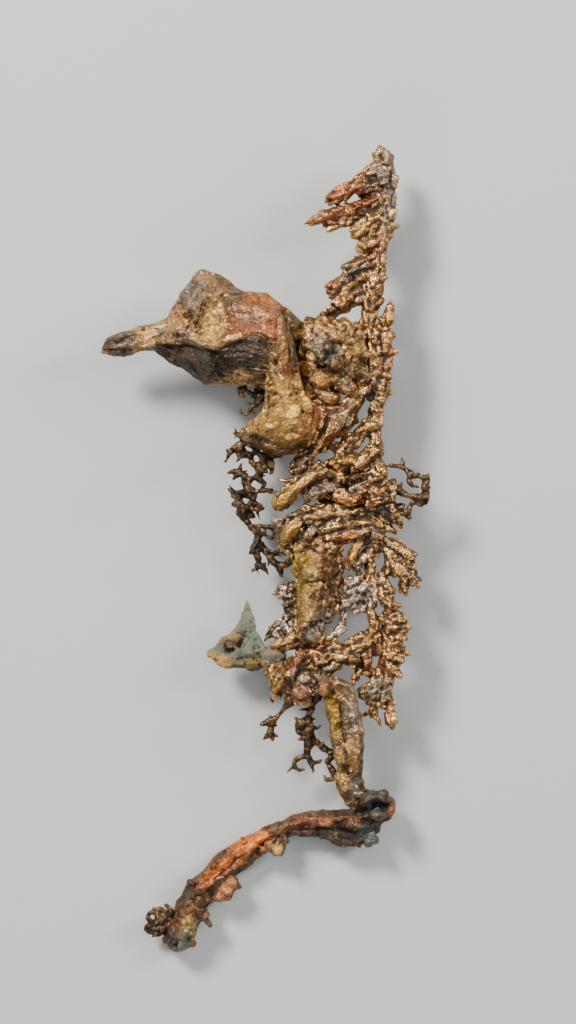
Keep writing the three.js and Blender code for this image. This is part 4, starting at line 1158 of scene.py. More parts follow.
SPIRE_WIRES = (
    [(23.8, 44.8, 12, 0.5), (24.1, 45.8, 12, 0.8), (24.5, 46.8, 12, 1.05), (24.7, 47.8, 12, 1),
     (24.85, 48.8, 12, 0.75), (24.85, 49.7, 12, 0.45), (24.8, 50.4, 12, 0.2)],
    [(21.4, 48.4, 12, 0.5), (22.6, 47, 12, 0.45), (23.6, 46, 12, 0.55)],
    [(23, 79.4, 10.6, 1.15), (22.85, 80.6, 10.5, 0.7), (22.8, 81.4, 10.4, 0.35)],
)

LEAF_ROUTES = (
    [(21.6, 59.4, 11.8, 1), (19.8, 58.2, 12, 1.3), (17.8, 57, 12.2, 1.45), (16, 55.9, 12.2, 1.1)],
    [(21.6, 56.4, 11.6, 0.9), (19.4, 55, 12, 1.15), (17.4, 53.8, 12.2, 1.1), (15.4, 52.9, 12.2, 0.9)],
    [(15.8, 54.4, 11.8, 1), (14.2, 53.4, 12, 1.2), (12.8, 52.2, 12, 1)],
    [(18.4, 52.6, 11.6, 1), (16.6, 51.4, 12, 1.4), (14.8, 50.2, 12.2, 1.5), (13.4, 49, 12, 1.1)],
    [(16, 49, 11.6, 0.8), (13.8, 48.2, 11.8, 0.8), (12, 47.6, 11.8, 0.6), (10.3, 47.3, 11.8, 0.3)],
    [(13.8, 48, 11.6, 0.7), (13.2, 46.8, 11.6, 0.4)],
    [(21, 51.4, 11.8, 0.9), (18.8, 50.4, 12, 1), (17.2, 49.5, 12, 0.8)],
)

COLUMN_ROUTES = (
    [(20.8, 45.2, 12, 0.8), (21.3, 43.6, 12.6, 1.1), (21.4, 41.6, 13, 1.2), (21.5, 39.5, 13.2, 1.1),
     (21.8, 37, 13.4, 1.1), (21.3, 34.7, 13.2, 1), (20.6, 32.7, 13, 1), (19.4, 31.7, 13, 0.9)],
    [(23.8, 44.6, 12, 0.8), (23.8, 42.6, 12.2, 1.1), (23.8, 40.4, 12.4, 1.1), (24.1, 38, 12.4, 1.05),
     (23.6, 36.4, 12.6, 1), (23.8, 34.8, 12.8, 1.1), (23.1, 33, 12.8, 1.3), (22.9, 31.3, 12.8, 1.15),
     (22.3, 29.6, 12.8, 1.1), (22, 28, 12.8, 1.15), (21.8, 26.4, 12.8, 1.2), (21.7, 24.8, 12.8, 1.1),
     (21.9, 23.2, 12.8, 1), (21.9, 21.4, 13, 1.1), (21.6, 19.6, 13, 1.1), (21.9, 18, 13, 1.2),
     (23, 16.6, 13, 1)],
    [(22.6, 42.2, 11.6, 0.9), (22.7, 39.4, 11.6, 0.9), (22.8, 36.6, 11.8, 0.9), (22.4, 34, 12, 0.9)],
    [(24.2, 43.6, 12.2, 0.8), (24.9, 42.6, 12.2, 0.5)],
    [(24.2, 40.2, 12.4, 0.8), (25, 39.4, 12.4, 0.45)],
    [(24.3, 38, 12.4, 0.8), (25.1, 37.6, 12.4, 0.5)],
    [(24.2, 35.2, 12.4, 0.8), (25, 34.8, 12.4, 0.45)],
    [(23.8, 32.2, 12.6, 0.8), (24.9, 31.8, 12.6, 0.45)],
    [(20.9, 31.8, 12.6, 0.7), (20.7, 30.9, 12.6, 0.85)],
    [(21.2, 25.4, 13.2, 1.2), (19.6, 24.4, 13.4, 1.1), (18, 23, 13.4, 1.25), (16.4, 21.6, 13.2, 1.2),
     (14.6, 20.2, 13, 0.8), (13.8, 19.8, 13, 0.5)],
    [(21.6, 20.6, 14, 1), (20, 19.2, 14.4, 1.1), (18.4, 17.9, 14.6, 1.1), (17, 16.8, 14.4, 0.6)],
    [(18, 18.6, 14, 0.9), (16.2, 18.4, 14.4, 1), (14.2, 18.1, 14.4, 0.95), (12.2, 17.8, 14, 0.8)],
)

INNER_ROUTES = (
    [(19.4, 33, 12.8, 0.9), (18.3, 31.6, 13, 1.2), (17.3, 29.9, 13.4, 1.5), (16.5, 28.2, 13.8, 1.55),
     (15.7, 26.6, 14, 1.6), (14.2, 25.4, 14, 1.55), (12.7, 24.4, 14, 1.5), (11.6, 23, 13.6, 1.4),
     (11, 21.6, 13.2, 1.1), (9.8, 20.6, 12.8, 1), (9, 19.4, 12.4, 1.1)],
    [(17.4, 28.8, 13, 1.1), (18.5, 28.9, 12.8, 0.7)],
    [(16.8, 26.8, 13.4, 1.2), (18, 26.2, 13, 0.8)],
    [(14.6, 24.2, 13.4, 1), (15.6, 24.2, 13.2, 0.7)],
    [(14.6, 28.8, 13.4, 1), (12.9, 28, 13.6, 1.15), (11.6, 26.8, 13.6, 1.1), (10.8, 25.4, 13.4, 0.9)],
    [(12, 22.2, 13, 1), (13.2, 21.4, 12.6, 0.8), (14, 21, 12.4, 0.4)],
    [(9.6, 29.4, 13, 1), (8.6, 28.9, 13, 0.8)],
    [(11, 31, 13.4, 1.1), (11, 29, 14, 1.2), (10.6, 26.8, 14.4, 1.3), (9.8, 24.4, 14.2, 1.3),
     (8.6, 22.2, 13.6, 1.2), (7.2, 20.8, 13, 1)],
)

UPPER_FERN_ROUTES = (
    [(2.4, 9.4, 14.6, 1.3), (3.6, 10.8, 14.8, 1.4), (5.4, 12.4, 14.8, 1.15), (7.2, 13.8, 14.6, 0.85),
     (8.8, 14.9, 14.6, 1.1), (10.2, 16.1, 14.6, 1.25), (11.4, 17.2, 14.4, 0.8)],
    [(5.4, 16.2, 12, 0.9), (6.4, 17.1, 12.4, 1.35), (7.5, 18.3, 12.6, 1.3), (8.9, 19.3, 12.6, 1.1)],
    [(8.2, 11, 14.2, 0.9), (9.6, 11.8, 14.6, 1.1), (11.4, 12.7, 14.6, 1.1), (13.2, 13.5, 14.4, 0.75)],
    [(14, 11.6, 15, 0.95), (15.5, 11.1, 15.2, 1.1), (17, 10.5, 15, 1), (18.6, 10.9, 14.6, 0.7)],
    [(17.2, 12.2, 14, 0.8), (18.6, 12.8, 14.2, 0.9), (19.6, 12.6, 14.2, 0.9), (20.2, 11.4, 14, 0.8)],
    [(14.9, 15.2, 14.6, 1.1), (14.7, 13.9, 14.2, 0.8)],
    [(17, 14.8, 13.6, 0.5), (18.4, 15.4, 13.8, 0.7), (19.8, 16, 13.8, 0.6), (21, 16.6, 13.6, 0.5)],
    [(11.6, 15.4, 13, 0.8), (13, 16.2, 13.2, 0.9), (15, 16.6, 13.4, 0.8), (17, 16.4, 13.4, 0.7)],
    [(12.6, 14.6, 13, 0.7), (13.6, 13.4, 13, 0.8), (15.2, 12.6, 13, 0.8), (17, 13.6, 13, 0.7)],
    [(19.8, 14.4, 13.2, 1.1), (21.6, 14.9, 13.2, 1.1), (23.2, 15.6, 13, 1.1), (23.7, 16.4, 13, 0.8)],
    [(21.6, 16.8, 13.4, 1.1), (22.8, 16.4, 13.4, 1)],
    [(20.8, 13, 13.6, 1), (22, 12, 14, 1.15), (23.3, 12.4, 14, 1), (24.8, 13.3, 13.6, 1.1),
     (25.5, 14.2, 13.2, 0.7)],
    [(21.4, 10.8, 14, 0.9), (22.6, 10.9, 14, 0.95), (24, 10.7, 13.8, 0.95), (25.3, 11.6, 13.4, 0.9)],
    [(20.4, 9.8, 13.6, 0.8), (21.8, 9.3, 13.8, 0.9), (23, 8.8, 13.4, 1)],
    [(24.6, 9.4, 13.4, 1.1), (25.1, 8.1, 13.2, 1.1), (25.9, 6.9, 12.8, 0.9), (26.8, 6, 12.6, 0.6),
     (27.4, 4.9, 12.6, 0.2)],
    [(25.4, 8.6, 13, 0.9), (26.7, 8.7, 12.8, 0.95), (27.7, 8, 12.6, 0.6)],
    [(23.2, 7.4, 12.8, 1), (24.3, 7, 12.8, 0.9)],
)

UPPER_FERN_WIRES = (
    [(2.7, 14.5, 11.6, 0.35), (4.2, 14.3, 12, 0.45), (6, 14.4, 12.6, 0.5), (7.4, 14.4, 13, 0.5)],
)

LOWER_FERN_ROUTES = (
    [(8.2, 6.6, 14, 1), (10, 7, 14.4, 0.95), (12, 7.8, 14.6, 1.1), (13.8, 8.6, 14.6, 1.05),
     (15.8, 9.2, 14.2, 0.8)],
    [(7.6, 9.2, 13.4, 0.6), (9, 8.4, 13.8, 0.7), (11, 8.9, 14, 0.7), (12.4, 9.8, 13.6, 0.6)],
    [(10.8, 4.4, 13.8, 0.85), (12.6, 5.1, 14.2, 1), (14.4, 5.8, 14.4, 0.95), (16.2, 6.8, 14.2, 0.85),
     (17.8, 7.8, 13.8, 0.85), (19, 8.5, 13.4, 0.7)],
    [(11, 3, 13.6, 0.75), (12.8, 3.6, 13.8, 0.85), (14.6, 4, 13.8, 0.7), (16.4, 4.5, 13.6, 0.6)],
    [(15.4, 2.2, 13.6, 0.7), (16.6, 2.9, 13.8, 0.75), (18, 3.8, 13.6, 0.6)],
    [(11.4, 1.4, 13.2, 0.8), (13, 1.7, 13.4, 0.75), (14.6, 2.2, 13.4, 0.6)],
    [(2.9, 3.2, 12, 1.1), (4.1, 3.7, 12.8, 1.4), (5.2, 4.9, 13.2, 1.35), (6.2, 6, 13, 0.9)],
    [(3.6, 2.2, 11.6, 0.9), (5, 2.2, 12, 0.9)],
    [(6.9, 2.2, 12.6, 0.95), (8, 3, 13, 1), (9.2, 4.2, 13.2, 0.95), (9.6, 5.4, 13.2, 0.7)],
    [(7.2, 4.6, 12.4, 0.8), (7.8, 6, 12.6, 0.8)],
    [(18.4, 3.2, 13.2, 1.1), (19.2, 4.6, 13.4, 1.2), (20.6, 5.6, 13.2, 0.9), (22.4, 5.7, 13, 0.75),
     (24.2, 5, 12.8, 0.7), (25.8, 4.1, 12.4, 0.65)],
    [(21.2, 7.8, 12.6, 1), (22.6, 6.9, 12.8, 0.9)],
    [(19.4, 7.2, 12.8, 0.8), (20.4, 8.4, 12.8, 0.8)],
    [(21.6, 3.9, 13, 0.95), (23, 3.4, 12.8, 0.8)],
    [(22.2, 2.2, 12.4, 0.9), (22.4, 1, 12.2, 0.8), (22.9, 0.2, 12, 0.4)],
    [(18.6, 1.8, 13.2, 0.8), (17.6, 0.4, 13.4, 0.8), (17, -1, 13.4, 0.75), (16.8, -2.4, 13.2, 0.55)],
    [(20.6, 2.6, 12.6, 0.9), (21, 1, 12.4, 0.7), (20.9, -1, 12.2, 0.65), (21, -3, 12, 0.7),
     (20.8, -5, 12, 0.7), (21, -7, 12, 0.75)],
    [(6.6, 0.8, 12.6, 0.8), (8.4, 1.2, 13, 0.9), (10, 1.8, 13.2, 0.8)],
)

LOWER_FERN_WIRES = (
    [(1.4, 6.2, 11, 0.35), (2.8, 6.2, 11.4, 0.5), (4.4, 6.9, 11.8, 0.45), (6.2, 7.9, 12.4, 0.5),
     (7.8, 8.8, 13, 0.6)],
    [(1.8, 7, 11, 0.3), (3, 6.2, 11.4, 0.45)],
    [(2.6, 5.2, 11.4, 0.6), (4.4, 6, 12, 0.6), (6.2, 7, 12.6, 0.6), (8, 7.8, 13, 0.6)],
    [(3, 1.2, 11, 0.5), (4, 0.4, 11, 0.6), (5, -0.2, 11, 0.6), (5.4, -1.4, 11, 0.4)],
)

FINGER_ROUTES = (
    [(23.8, 2.6, 12, 0.7), (24.8, 1.6, 12, 0.9), (26.2, 1, 12, 0.95), (27.8, 0.1, 11.8, 0.85),
     (29.4, -1.2, 11.6, 0.65)],
    [(24, 2.6, 12, 0.5), (25.4, 2.5, 12, 0.45), (26.8, 2.4, 12, 0.3)],
    [(24.2, 0.6, 12, 0.7), (25.2, -0.4, 12, 0.8), (26.6, -0.5, 12, 0.6)],
    [(25, -1.6, 11.6, 0.8), (26.2, -2.7, 11.8, 1), (27.6, -2.8, 12, 1.05), (29, -3.2, 11.8, 1),
     (30, -3.9, 11.6, 0.55)],
    [(26.4, -3.8, 11.8, 0.8), (25.7, -4.8, 11.8, 0.55)],
    [(27.2, -4, 11.8, 0.95), (28.6, -4.8, 11.8, 1.05), (29.7, -6, 11.6, 0.75), (30.5, -6.9, 11.4, 0.4)],
    [(27.6, -4.8, 12, 0.85), (27.7, -6.4, 12, 0.75), (28, -8.2, 12, 0.65)],
    [(23, -4.3, 11.4, 0.6), (23.4, -5.8, 11.8, 0.85), (24.2, -7.3, 12, 0.95), (25.2, -8.7, 12, 0.75)],
    [(23.2, -7.6, 11.6, 0.8), (23.9, -9.2, 11.8, 0.95), (24.7, -10.6, 11.8, 0.85),
     (24.6, -11.8, 11.8, 0.8)],
    [(25, -10.4, 11.6, 0.7), (26, -10.6, 11.6, 0.65), (27, -10.8, 11.6, 0.4)],
    [(23.8, 1.6, 11.6, 0.8), (24.4, -0.6, 11.4, 0.8), (24.6, -2.6, 11.4, 0.8), (23.6, -4.2, 11.4, 0.7)],
)

GREY_ROUTES = (
    [(19.8, 0.4, 11.6, 0.6), (19.2, -1.2, 12, 0.9), (18.4, -2.7, 12, 0.9), (19.2, -3.8, 11.8, 0.7)],
    [(17.8, -0.8, 11.6, 0.6), (17.6, -3.2, 11.6, 0.5), (15.6, -3.3, 11.6, 0.3)],
    [(19.6, -4.4, 11.6, 0.7), (18, -5.4, 12, 0.85), (16.4, -6.2, 12.2, 0.95), (15.8, -7.4, 12.2, 0.8)],
    [(20.6, -5.8, 11.6, 0.8), (19.6, -6.6, 11.8, 0.9), (18, -7.8, 12, 1), (16.8, -8.4, 12, 0.8)],
    [(19.8, -8.6, 11.6, 0.7), (18, -9.6, 12, 0.9), (16.4, -10.1, 12.2, 1.05), (14.9, -10.9, 12, 0.7)],
    [(15.2, -9, 11.8, 0.7), (14.2, -9.6, 11.8, 0.7)],
    [(17, -10.8, 12, 0.6), (17.9, -11.7, 11.8, 0.35), (18.8, -12.3, 11.6, 0.2)],
    [(21.2, -6.4, 11.8, 0.9), (20.9, -8.2, 11.8, 0.9), (21, -9.8, 11.8, 0.9), (21.3, -11.6, 11.6, 0.8)],
    [(19.6, -11.4, 11.6, 0.6), (20.4, -10.4, 11.6, 0.7)],
    [(15.3, -11.2, 11.6, 0.45), (15.3, -12.8, 11.6, 0.6), (15.4, -14, 11.6, 0.6),
     (14.8, -15.4, 11.6, 0.8), (13.6, -16.8, 11.6, 0.7), (12.6, -18, 11.6, 0.8)],
    [(15, -15, 11.6, 0.6), (16.2, -15.4, 11.4, 0.35)],
)

PEARL_ROUTES = (
    [(6.6, -7.4, 10.4, 0.9), (5.2, -7.2, 10.6, 0.9), (3.8, -6.9, 10.6, 0.8), (2.6, -6.9, 10.4, 0.6)],
    [(6.4, -8.8, 10.4, 1), (4.8, -8.4, 10.8, 1), (3.2, -8.4, 10.6, 0.9), (1.6, -8.2, 10.4, 0.55)],
    [(5.8, -9.8, 10.4, 0.8), (4.4, -9.9, 10.6, 0.8), (3.6, -10.4, 10.4, 0.65)],
    [(5, -10.6, 10.2, 0.7), (3.8, -11.4, 10, 0.5)],
    [(5.6, -6.4, 10.2, 0.5), (5.4, -5.8, 10, 0.3)],
    [(6.6, -11, 10.4, 0.7), (5, -12.6, 10.4, 0.7), (3.6, -13.6, 10.4, 0.7), (2.6, -14.8, 10.4, 0.95),
     (1, -16.2, 10.2, 0.7), (-0.2, -17.6, 10, 0.35)],
    [(3.6, -14.8, 10.6, 0.9), (4.2, -16, 10.8, 0.95), (5.6, -16.6, 10.8, 0.7)],
    [(2, -16.4, 10.4, 0.8), (3, -17.4, 10.6, 0.8)],
    [(1.6, -14.8, 10.2, 0.4), (0.6, -14.9, 10, 0.25)],
)

ARM_ROUTES = (
    [(8, -20.6, 12, 0.9), (9.6, -20.2, 12.2, 1.1), (11, -21.4, 12.6, 1.2), (12.6, -20.6, 12.4, 1.15),
     (14.2, -20.8, 12.4, 1.1), (15.7, -20.5, 12.4, 1.05), (17.2, -19.5, 12.4, 1.1),
     (18.8, -18.6, 12.2, 1.1), (20.4, -17.6, 12, 1.1), (21.6, -16, 12, 1.1), (21.8, -14.4, 12, 0.9),
     (21.3, -12.6, 11.8, 0.8), (20.4, -10.8, 11.6, 0.5)],
    [(16, -18.3, 12, 0.6), (17.6, -17.5, 12, 0.75), (19.2, -16.7, 12, 0.75), (20.6, -15.8, 12, 0.8)],
    [(12.4, -18.4, 12.2, 1.1), (11, -18.8, 12, 1), (9.8, -18.2, 11.8, 0.8)],
    [(13.6, -18.8, 12, 0.9), (15, -19, 12, 0.7)],
    [(16, -21.2, 12.2, 0.8), (17.4, -21.6, 12.4, 1.25), (18.6, -20.8, 12, 0.8)],
    [(20, -19.4, 11.8, 1), (20, -21, 11.8, 1.15), (20.2, -22.6, 11.6, 1.05)],
    [(14.4, -22.4, 12, 0.95), (13, -23, 12.2, 1.05), (12.6, -24.3, 12, 0.95)],
    [(11.4, -22.8, 11.8, 0.6), (10, -23.4, 11.8, 0.8), (8.8, -22.4, 11.8, 1), (7.6, -22.6, 11.8, 0.9)],
    [(10.4, -24.6, 11.8, 0.9), (9, -24.2, 11.6, 0.8)],
    [(18.6, -23.4, 11.6, 0.7), (18, -24.6, 11.6, 0.5), (17.5, -26.2, 11.6, 0.5)],
    [(22, -18.6, 11.6, 0.9), (22.8, -20, 11.4, 1.05)],
    [(19.2, -23.6, 11.4, 0.7), (20.8, -23.8, 11.2, 0.8), (22.2, -24.2, 11.2, 0.9)],
)

COB_ROUTES = (
    [(23.2, -13.4, 11.4, 0.8), (24.6, -13.4, 11.8, 0.9), (26.8, -13, 12, 0.9),
     (28.2, -13.9, 11.8, 0.55)],
    [(23.8, -12.2, 11.4, 0.7), (25.8, -11.9, 11.4, 0.5)],
    [(24.8, -15.1, 11.8, 0.9), (26.8, -14.9, 12, 0.9), (28, -15.8, 11.8, 0.55)],
    [(23.8, -15.6, 11.6, 0.7), (24, -17.2, 11.8, 0.8)],
    [(25.2, -16.9, 11.8, 0.85), (27.2, -16.7, 11.8, 0.7), (28.2, -17.4, 11.6, 0.4)],
    [(24.8, -18.4, 11.8, 0.85), (27, -18.3, 11.8, 0.65)],
    [(24.6, -19.6, 11.6, 0.8), (26.8, -19.3, 11.8, 0.6), (28.8, -20.5, 11.4, 0.4)],
    [(23.8, -20.6, 11.4, 0.9), (26, -20.9, 11.6, 1), (27.3, -21.9, 11.4, 0.5)],
    [(24, -13, 11, 0.9), (24.4, -16, 11, 1), (24.2, -19, 11, 1), (23.8, -22, 11, 0.9),
     (24.6, -24, 11.2, 1), (24, -26.4, 11, 1.1), (24, -28.6, 11, 1), (25.1, -30.2, 11, 0.65),
     (24.8, -32, 11.2, 0.8), (25.1, -33.8, 11.2, 1.15), (25.3, -35, 11, 0.7)],
    [(24.6, -22.8, 11.4, 0.9), (25.6, -23.8, 11.4, 0.95), (25.4, -25.2, 11.2, 0.6)],
    [(22.6, -23.6, 11.2, 0.8), (22.4, -25.4, 11.2, 1), (21.2, -27, 11.2, 1.05), (19.4, -28.2, 11, 0.7),
     (18.7, -29, 11, 0.35)],
    [(22.2, -27.6, 11.4, 1), (21.2, -29, 11.4, 0.95), (20.2, -29.8, 11.2, 0.6)],
    [(20.4, -30, 11.2, 0.45), (22, -30.2, 11.4, 0.7), (23.6, -31, 11.4, 0.65)],
    [(25.6, -32.8, 11, 0.7), (26.2, -33.6, 11, 0.45)],
)

COB_WIRES = (
    [(18.6, -32.2, 10.8, 0.3), (19.6, -32.6, 10.8, 0.35), (20.6, -32, 11, 0.4),
     (21.4, -31.2, 11.2, 0.5)],
    [(21.4, -31.6, 11, 0.5), (21.8, -32.8, 11, 0.55), (22.5, -33.5, 11, 0.55), (22.8, -34.8, 10.8, 0.2)],
    [(20.8, -32, 11, 0.35), (21, -33, 10.8, 0.25)],
)

HIP_ROUTES = (
    [(0.4, -22.9, 10.6, 1.1), (1.8, -24, 11.2, 1.4), (2.4, -25.8, 11.2, 1.25), (2.2, -27.6, 11, 0.9),
     (1.4, -29.3, 10.8, 0.4)],
    [(8.2, -21.8, 12.6, 0.8), (6.6, -23.2, 12.6, 0.8), (4.8, -25, 12.2, 0.75), (3.2, -27, 11.6, 0.5)],
    [(6.2, -27.4, 12.6, 1.3), (7.6, -28.8, 12.8, 1.4), (6.4, -29.2, 12.4, 1.1)],
    [(7.7, -26, 13, 1.1), (9.4, -26.6, 12.8, 1.1), (9.4, -28, 12.4, 0.9)],
    [(5.6, -21.4, 12, 0.8), (4.2, -22.4, 11.8, 0.8)],
    [(5.8, -25.8, 12, 1), (4.4, -27.8, 11.6, 0.9), (4.6, -29.4, 11.2, 0.8)],
    [(9, -24.6, 12.4, 0.9), (10.6, -25.4, 12.6, 1)],
    [(3.4, -23.4, 11.4, 1), (5, -23.6, 11.8, 0.9)],
)

RIB_ROUTES = (
    [(6.4, 0.8, 12.4, 1.1), (9, 1.5, 13, 1.4), (12, 1.3, 13.4, 1.5), (14.6, 0.8, 12.8, 1.2)],
    [(14.6, -1, 12, 1), (14, -4, 12.4, 1.3), (13.6, -7.5, 12.4, 0.9), (13.2, -10, 12.2, 1.3),
     (12.6, -12.4, 12, 1.2)],
    [(6.6, -1, 12.4, 0.8), (6.8, -4.4, 12.6, 1.1), (7.6, -8, 12.8, 0.9), (6.9, -11.6, 12.4, 1.3),
     (6, -13.4, 12, 1.1)],
    [(11.4, -2, 14.2, 1.2), (10.8, -5.4, 14.4, 1.5), (11.2, -9, 14, 1.3), (10.2, -11.6, 13.6, 1.6)],
    [(9.2, -12.6, 12, 1.3), (8, -14.6, 12, 0.9), (8.2, -16.8, 12.2, 1), (9.6, -17.4, 12.4, 1),
     (10.6, -16, 12.4, 1), (10, -14.4, 12.2, 1), (8.6, -14, 12, 0.9)],
    [(11.6, -12.2, 12.6, 1.2), (12.6, -13.6, 12.4, 0.8)],
    [(7.2, -12.4, 13, 0.9), (6.4, -14.6, 12.6, 1), (6.2, -16.4, 12.2, 0.9), (7.2, -18.2, 12.2, 0.8),
     (7, -20, 12, 0.8), (6, -21.4, 12, 0.7)],
    [(6, -17.8, 11.8, 1), (4, -18.4, 11.4, 1.1), (2, -18.9, 11, 1), (0.6, -19.6, 10.6, 0.7)],
    [(8.8, -18.4, 12, 0.8), (9.6, -19.4, 12, 0.8)],
)

THROAT_ROUTES = (
    [(0.4, 31.6, 12, 0.9), (-1, 31.2, 12, 0.8), (-2.2, 31.2, 12.2, 0.65), (-3, 31.7, 12.2, 0.5),
     (-4, 32.4, 12.2, 0.55), (-4.9, 32.6, 12, 0.75)],
    [(-4.6, 32.4, 12, 0.45), (-5.2, 31.6, 12, 0.45), (-4.6, 31.2, 12.4, 0.4)],
    [(-4.2, 32.6, 12, 0.4), (-4.1, 33.4, 12.2, 0.35)],
    [(-1.2, 31.2, 12, 0.8), (-1.6, 30.2, 12.2, 0.7), (-2.4, 29.4, 12.2, 0.5), (-3.1, 28.9, 12.2, 0.4),
     (-3.3, 28.1, 12, 0.35), (-4, 27.6, 12, 0.32), (-4.8, 27.8, 12, 0.3), (-5.1, 28.5, 12, 0.22)],
    [(-3.2, 28.6, 12.2, 0.35), (-2.4, 28, 12.2, 0.25)],
    [(-1.6, 31.4, 12, 0.5), (-2, 32.4, 12, 0.4), (-1.6, 33, 12.2, 0.3)],
)

SPRAY_ROUTES = (
    [(2.4, 20, 10, 0.9), (1, 19.4, 10, 0.8), (-1, 19.6, 10, 0.7), (-2.2, 20.6, 10.4, 0.7),
     (-3.2, 21.8, 11, 0.9), (-4.4, 22.4, 11, 0.8), (-5, 23.4, 11, 0.6), (-6.5, 23.8, 11, 0.25)],
    [(-3.8, 22.2, 11, 0.8), (-5, 21.6, 10.8, 0.95), (-6, 20.9, 10.6, 0.85), (-7.1, 20.2, 10.5, 0.6),
     (-7.6, 19.2, 10.4, 0.4), (-8.1, 18.1, 10.2, 0.2)],
    [(-5.2, 21.4, 10.6, 0.9), (-4.8, 20, 10.4, 0.8), (-4, 19.6, 10.4, 0.7), (-3, 19.6, 10.2, 0.7)],
    [(-5.6, 20.4, 10.4, 0.6), (-5.4, 19, 10.4, 0.4), (-5.8, 18.3, 10.4, 0.2)],
    [(-6.6, 20.8, 10.6, 0.6), (-7.6, 20.2, 10.4, 0.35), (-7.9, 20.6, 10.4, 0.2)],
    [(-0.8, 19.2, 10, 0.7), (0.3, 18.6, 10.4, 0.75), (1.1, 17.6, 10.6, 0.75), (1.1, 16.4, 10.6, 0.5),
     (0.9, 15.7, 10.4, 0.25)],
    [(-1, 18.8, 10.2, 0.5), (-0.4, 17.4, 10.4, 0.5), (0, 16.2, 10.2, 0.35)],
    [(-2.6, 20.2, 10, 0.5), (-3, 18.6, 9.8, 0.5), (-2.4, 17.5, 9.8, 0.7), (-1.4, 17, 10, 0.95),
     (-1.2, 15.9, 10, 0.7), (-2.2, 15, 9.8, 0.5), (-3.4, 14.6, 9.6, 0.6), (-3.4, 13.8, 9.6, 0.6)],
    [(-2, 15, 9.8, 0.6), (-0.9, 14.4, 9.8, 0.6), (-0.2, 13.6, 9.8, 0.4), (-0.8, 13.1, 9.6, 0.3)],
    [(-4.4, 15.4, 9.4, 0.7), (-5.6, 16, 9.4, 0.7), (-6.6, 16.2, 9.4, 0.5), (-7.6, 16, 9.4, 0.25)],
    [(-5.6, 15.8, 9.4, 0.6), (-5.2, 16.9, 9.4, 0.4), (-5, 17.7, 9.4, 0.2)],
    [(-5.8, 15.6, 9.4, 0.6), (-6.4, 14.9, 9.2, 0.3)],
    [(-4.2, 15.2, 9.4, 0.6), (-4.6, 14.2, 9.2, 0.6), (-3.8, 13.2, 9.2, 0.8), (-3, 12.4, 9.2, 0.8),
     (-1.8, 12.2, 9.6, 0.6), (-0.4, 12.4, 9.8, 0.5), (0.8, 12.3, 9.8, 0.55), (1.9, 12.1, 10, 0.25)],
    [(1, 12.2, 9.8, 0.4), (1.2, 12.9, 9.8, 0.2)],
    [(-3.2, 12.6, 9.4, 0.8), (-4, 11.8, 9.4, 1.1), (-5.2, 11.6, 9.2, 1), (-6.2, 11.8, 9, 0.7),
     (-7.5, 12.7, 9, 0.3)],
    [(-5.6, 11.4, 9, 0.7), (-6.8, 11.2, 9, 0.4)],
    [(-3.8, 11.4, 9.4, 0.9), (-2.6, 10.8, 9.4, 0.6), (-2, 11.4, 9.4, 0.3)],
    [(-5, 11.2, 9.2, 0.9), (-5.4, 9.9, 9, 1.1), (-4.4, 9, 9, 1), (-3.2, 9, 9, 0.8), (-2, 8.7, 9.2, 0.6),
     (-0.6, 8.8, 9.2, 0.35)],
    [(-3, 9.6, 9, 0.6), (-1.8, 9.9, 9.2, 0.35), (-1, 9.4, 9.2, 0.3)],
    [(-5.6, 9.8, 9, 0.8), (-6.6, 9.6, 8.8, 0.4)],
    [(-4.6, 9, 9, 0.9), (-4.2, 7.8, 8.8, 0.8), (-3.4, 7.4, 8.6, 0.7), (-2.4, 7.2, 8.6, 0.35)],
    [(-4.8, 8.6, 9, 0.8), (-5.6, 8, 8.8, 0.6), (-4.6, 7, 8.6, 0.6), (-3.8, 6, 8.6, 0.6),
     (-2.9, 5, 8.6, 0.7), (-1.8, 4.3, 8.6, 0.8), (-1.2, 3.6, 8.6, 0.7)],
    [(-2.6, 5, 8.6, 0.5), (-1.2, 5.2, 8.8, 0.45), (0.2, 5.2, 9, 0.45), (1.4, 4.6, 9, 0.45),
     (1.7, 3.6, 9, 0.4), (1, 2.9, 9, 0.4), (0, 3.4, 9, 0.35), (-0.3, 4.4, 9, 0.35)],
    [(0.6, 5.2, 9, 0.45), (2, 5.2, 9.6, 0.4), (3.2, 5.2, 10.4, 0.4)],
    [(-1.6, 3.8, 8.6, 0.7), (-1.7, 2.4, 8.4, 0.7), (-2.2, 1.2, 8.2, 0.8), (-2, -0.2, 8, 0.8),
     (-1.6, -1.6, 8, 0.6), (-1.8, -2.9, 7.8, 0.55), (-2.6, -3.6, 7.8, 0.3)],
    [(-1.6, -2.6, 7.8, 0.6), (-0.6, -3, 8, 0.65), (0, -3.6, 8, 0.4), (0.3, -4.3, 8, 0.2)],
    [(-0.6, -2.9, 8, 0.5), (-0.2, -2.2, 8, 0.25)],
    [(-2, 0.6, 8, 0.7), (-2.9, 0, 7.8, 0.5)],
    [(-1.8, 2, 8.4, 0.6), (-0.9, 1.4, 8.2, 0.6), (-0.4, 0.4, 8.2, 0.65), (0.4, -0.2, 8.2, 0.75),
     (1, -1.4, 8.2, 0.75), (2, -2.4, 8.2, 0.75), (2.8, -3.6, 8.2, 0.6), (3.1, -4.7, 8.2, 0.3)],
    [(1.2, -0.6, 8.4, 0.5), (2, 0, 8.6, 0.5), (3.2, 0.2, 9.2, 0.6), (4.4, 0.2, 9.8, 0.65),
     (5.6, 0.4, 10.4, 0.6)],
    [(2.2, -2.4, 8.4, 0.6), (3.6, -2.8, 8.8, 0.65), (4.6, -2.2, 9.4, 0.6), (5.6, -1.8, 10.2, 0.6)],
    [(4.2, -2.4, 9.2, 0.5), (4.8, -1.2, 9.6, 0.35)],
)

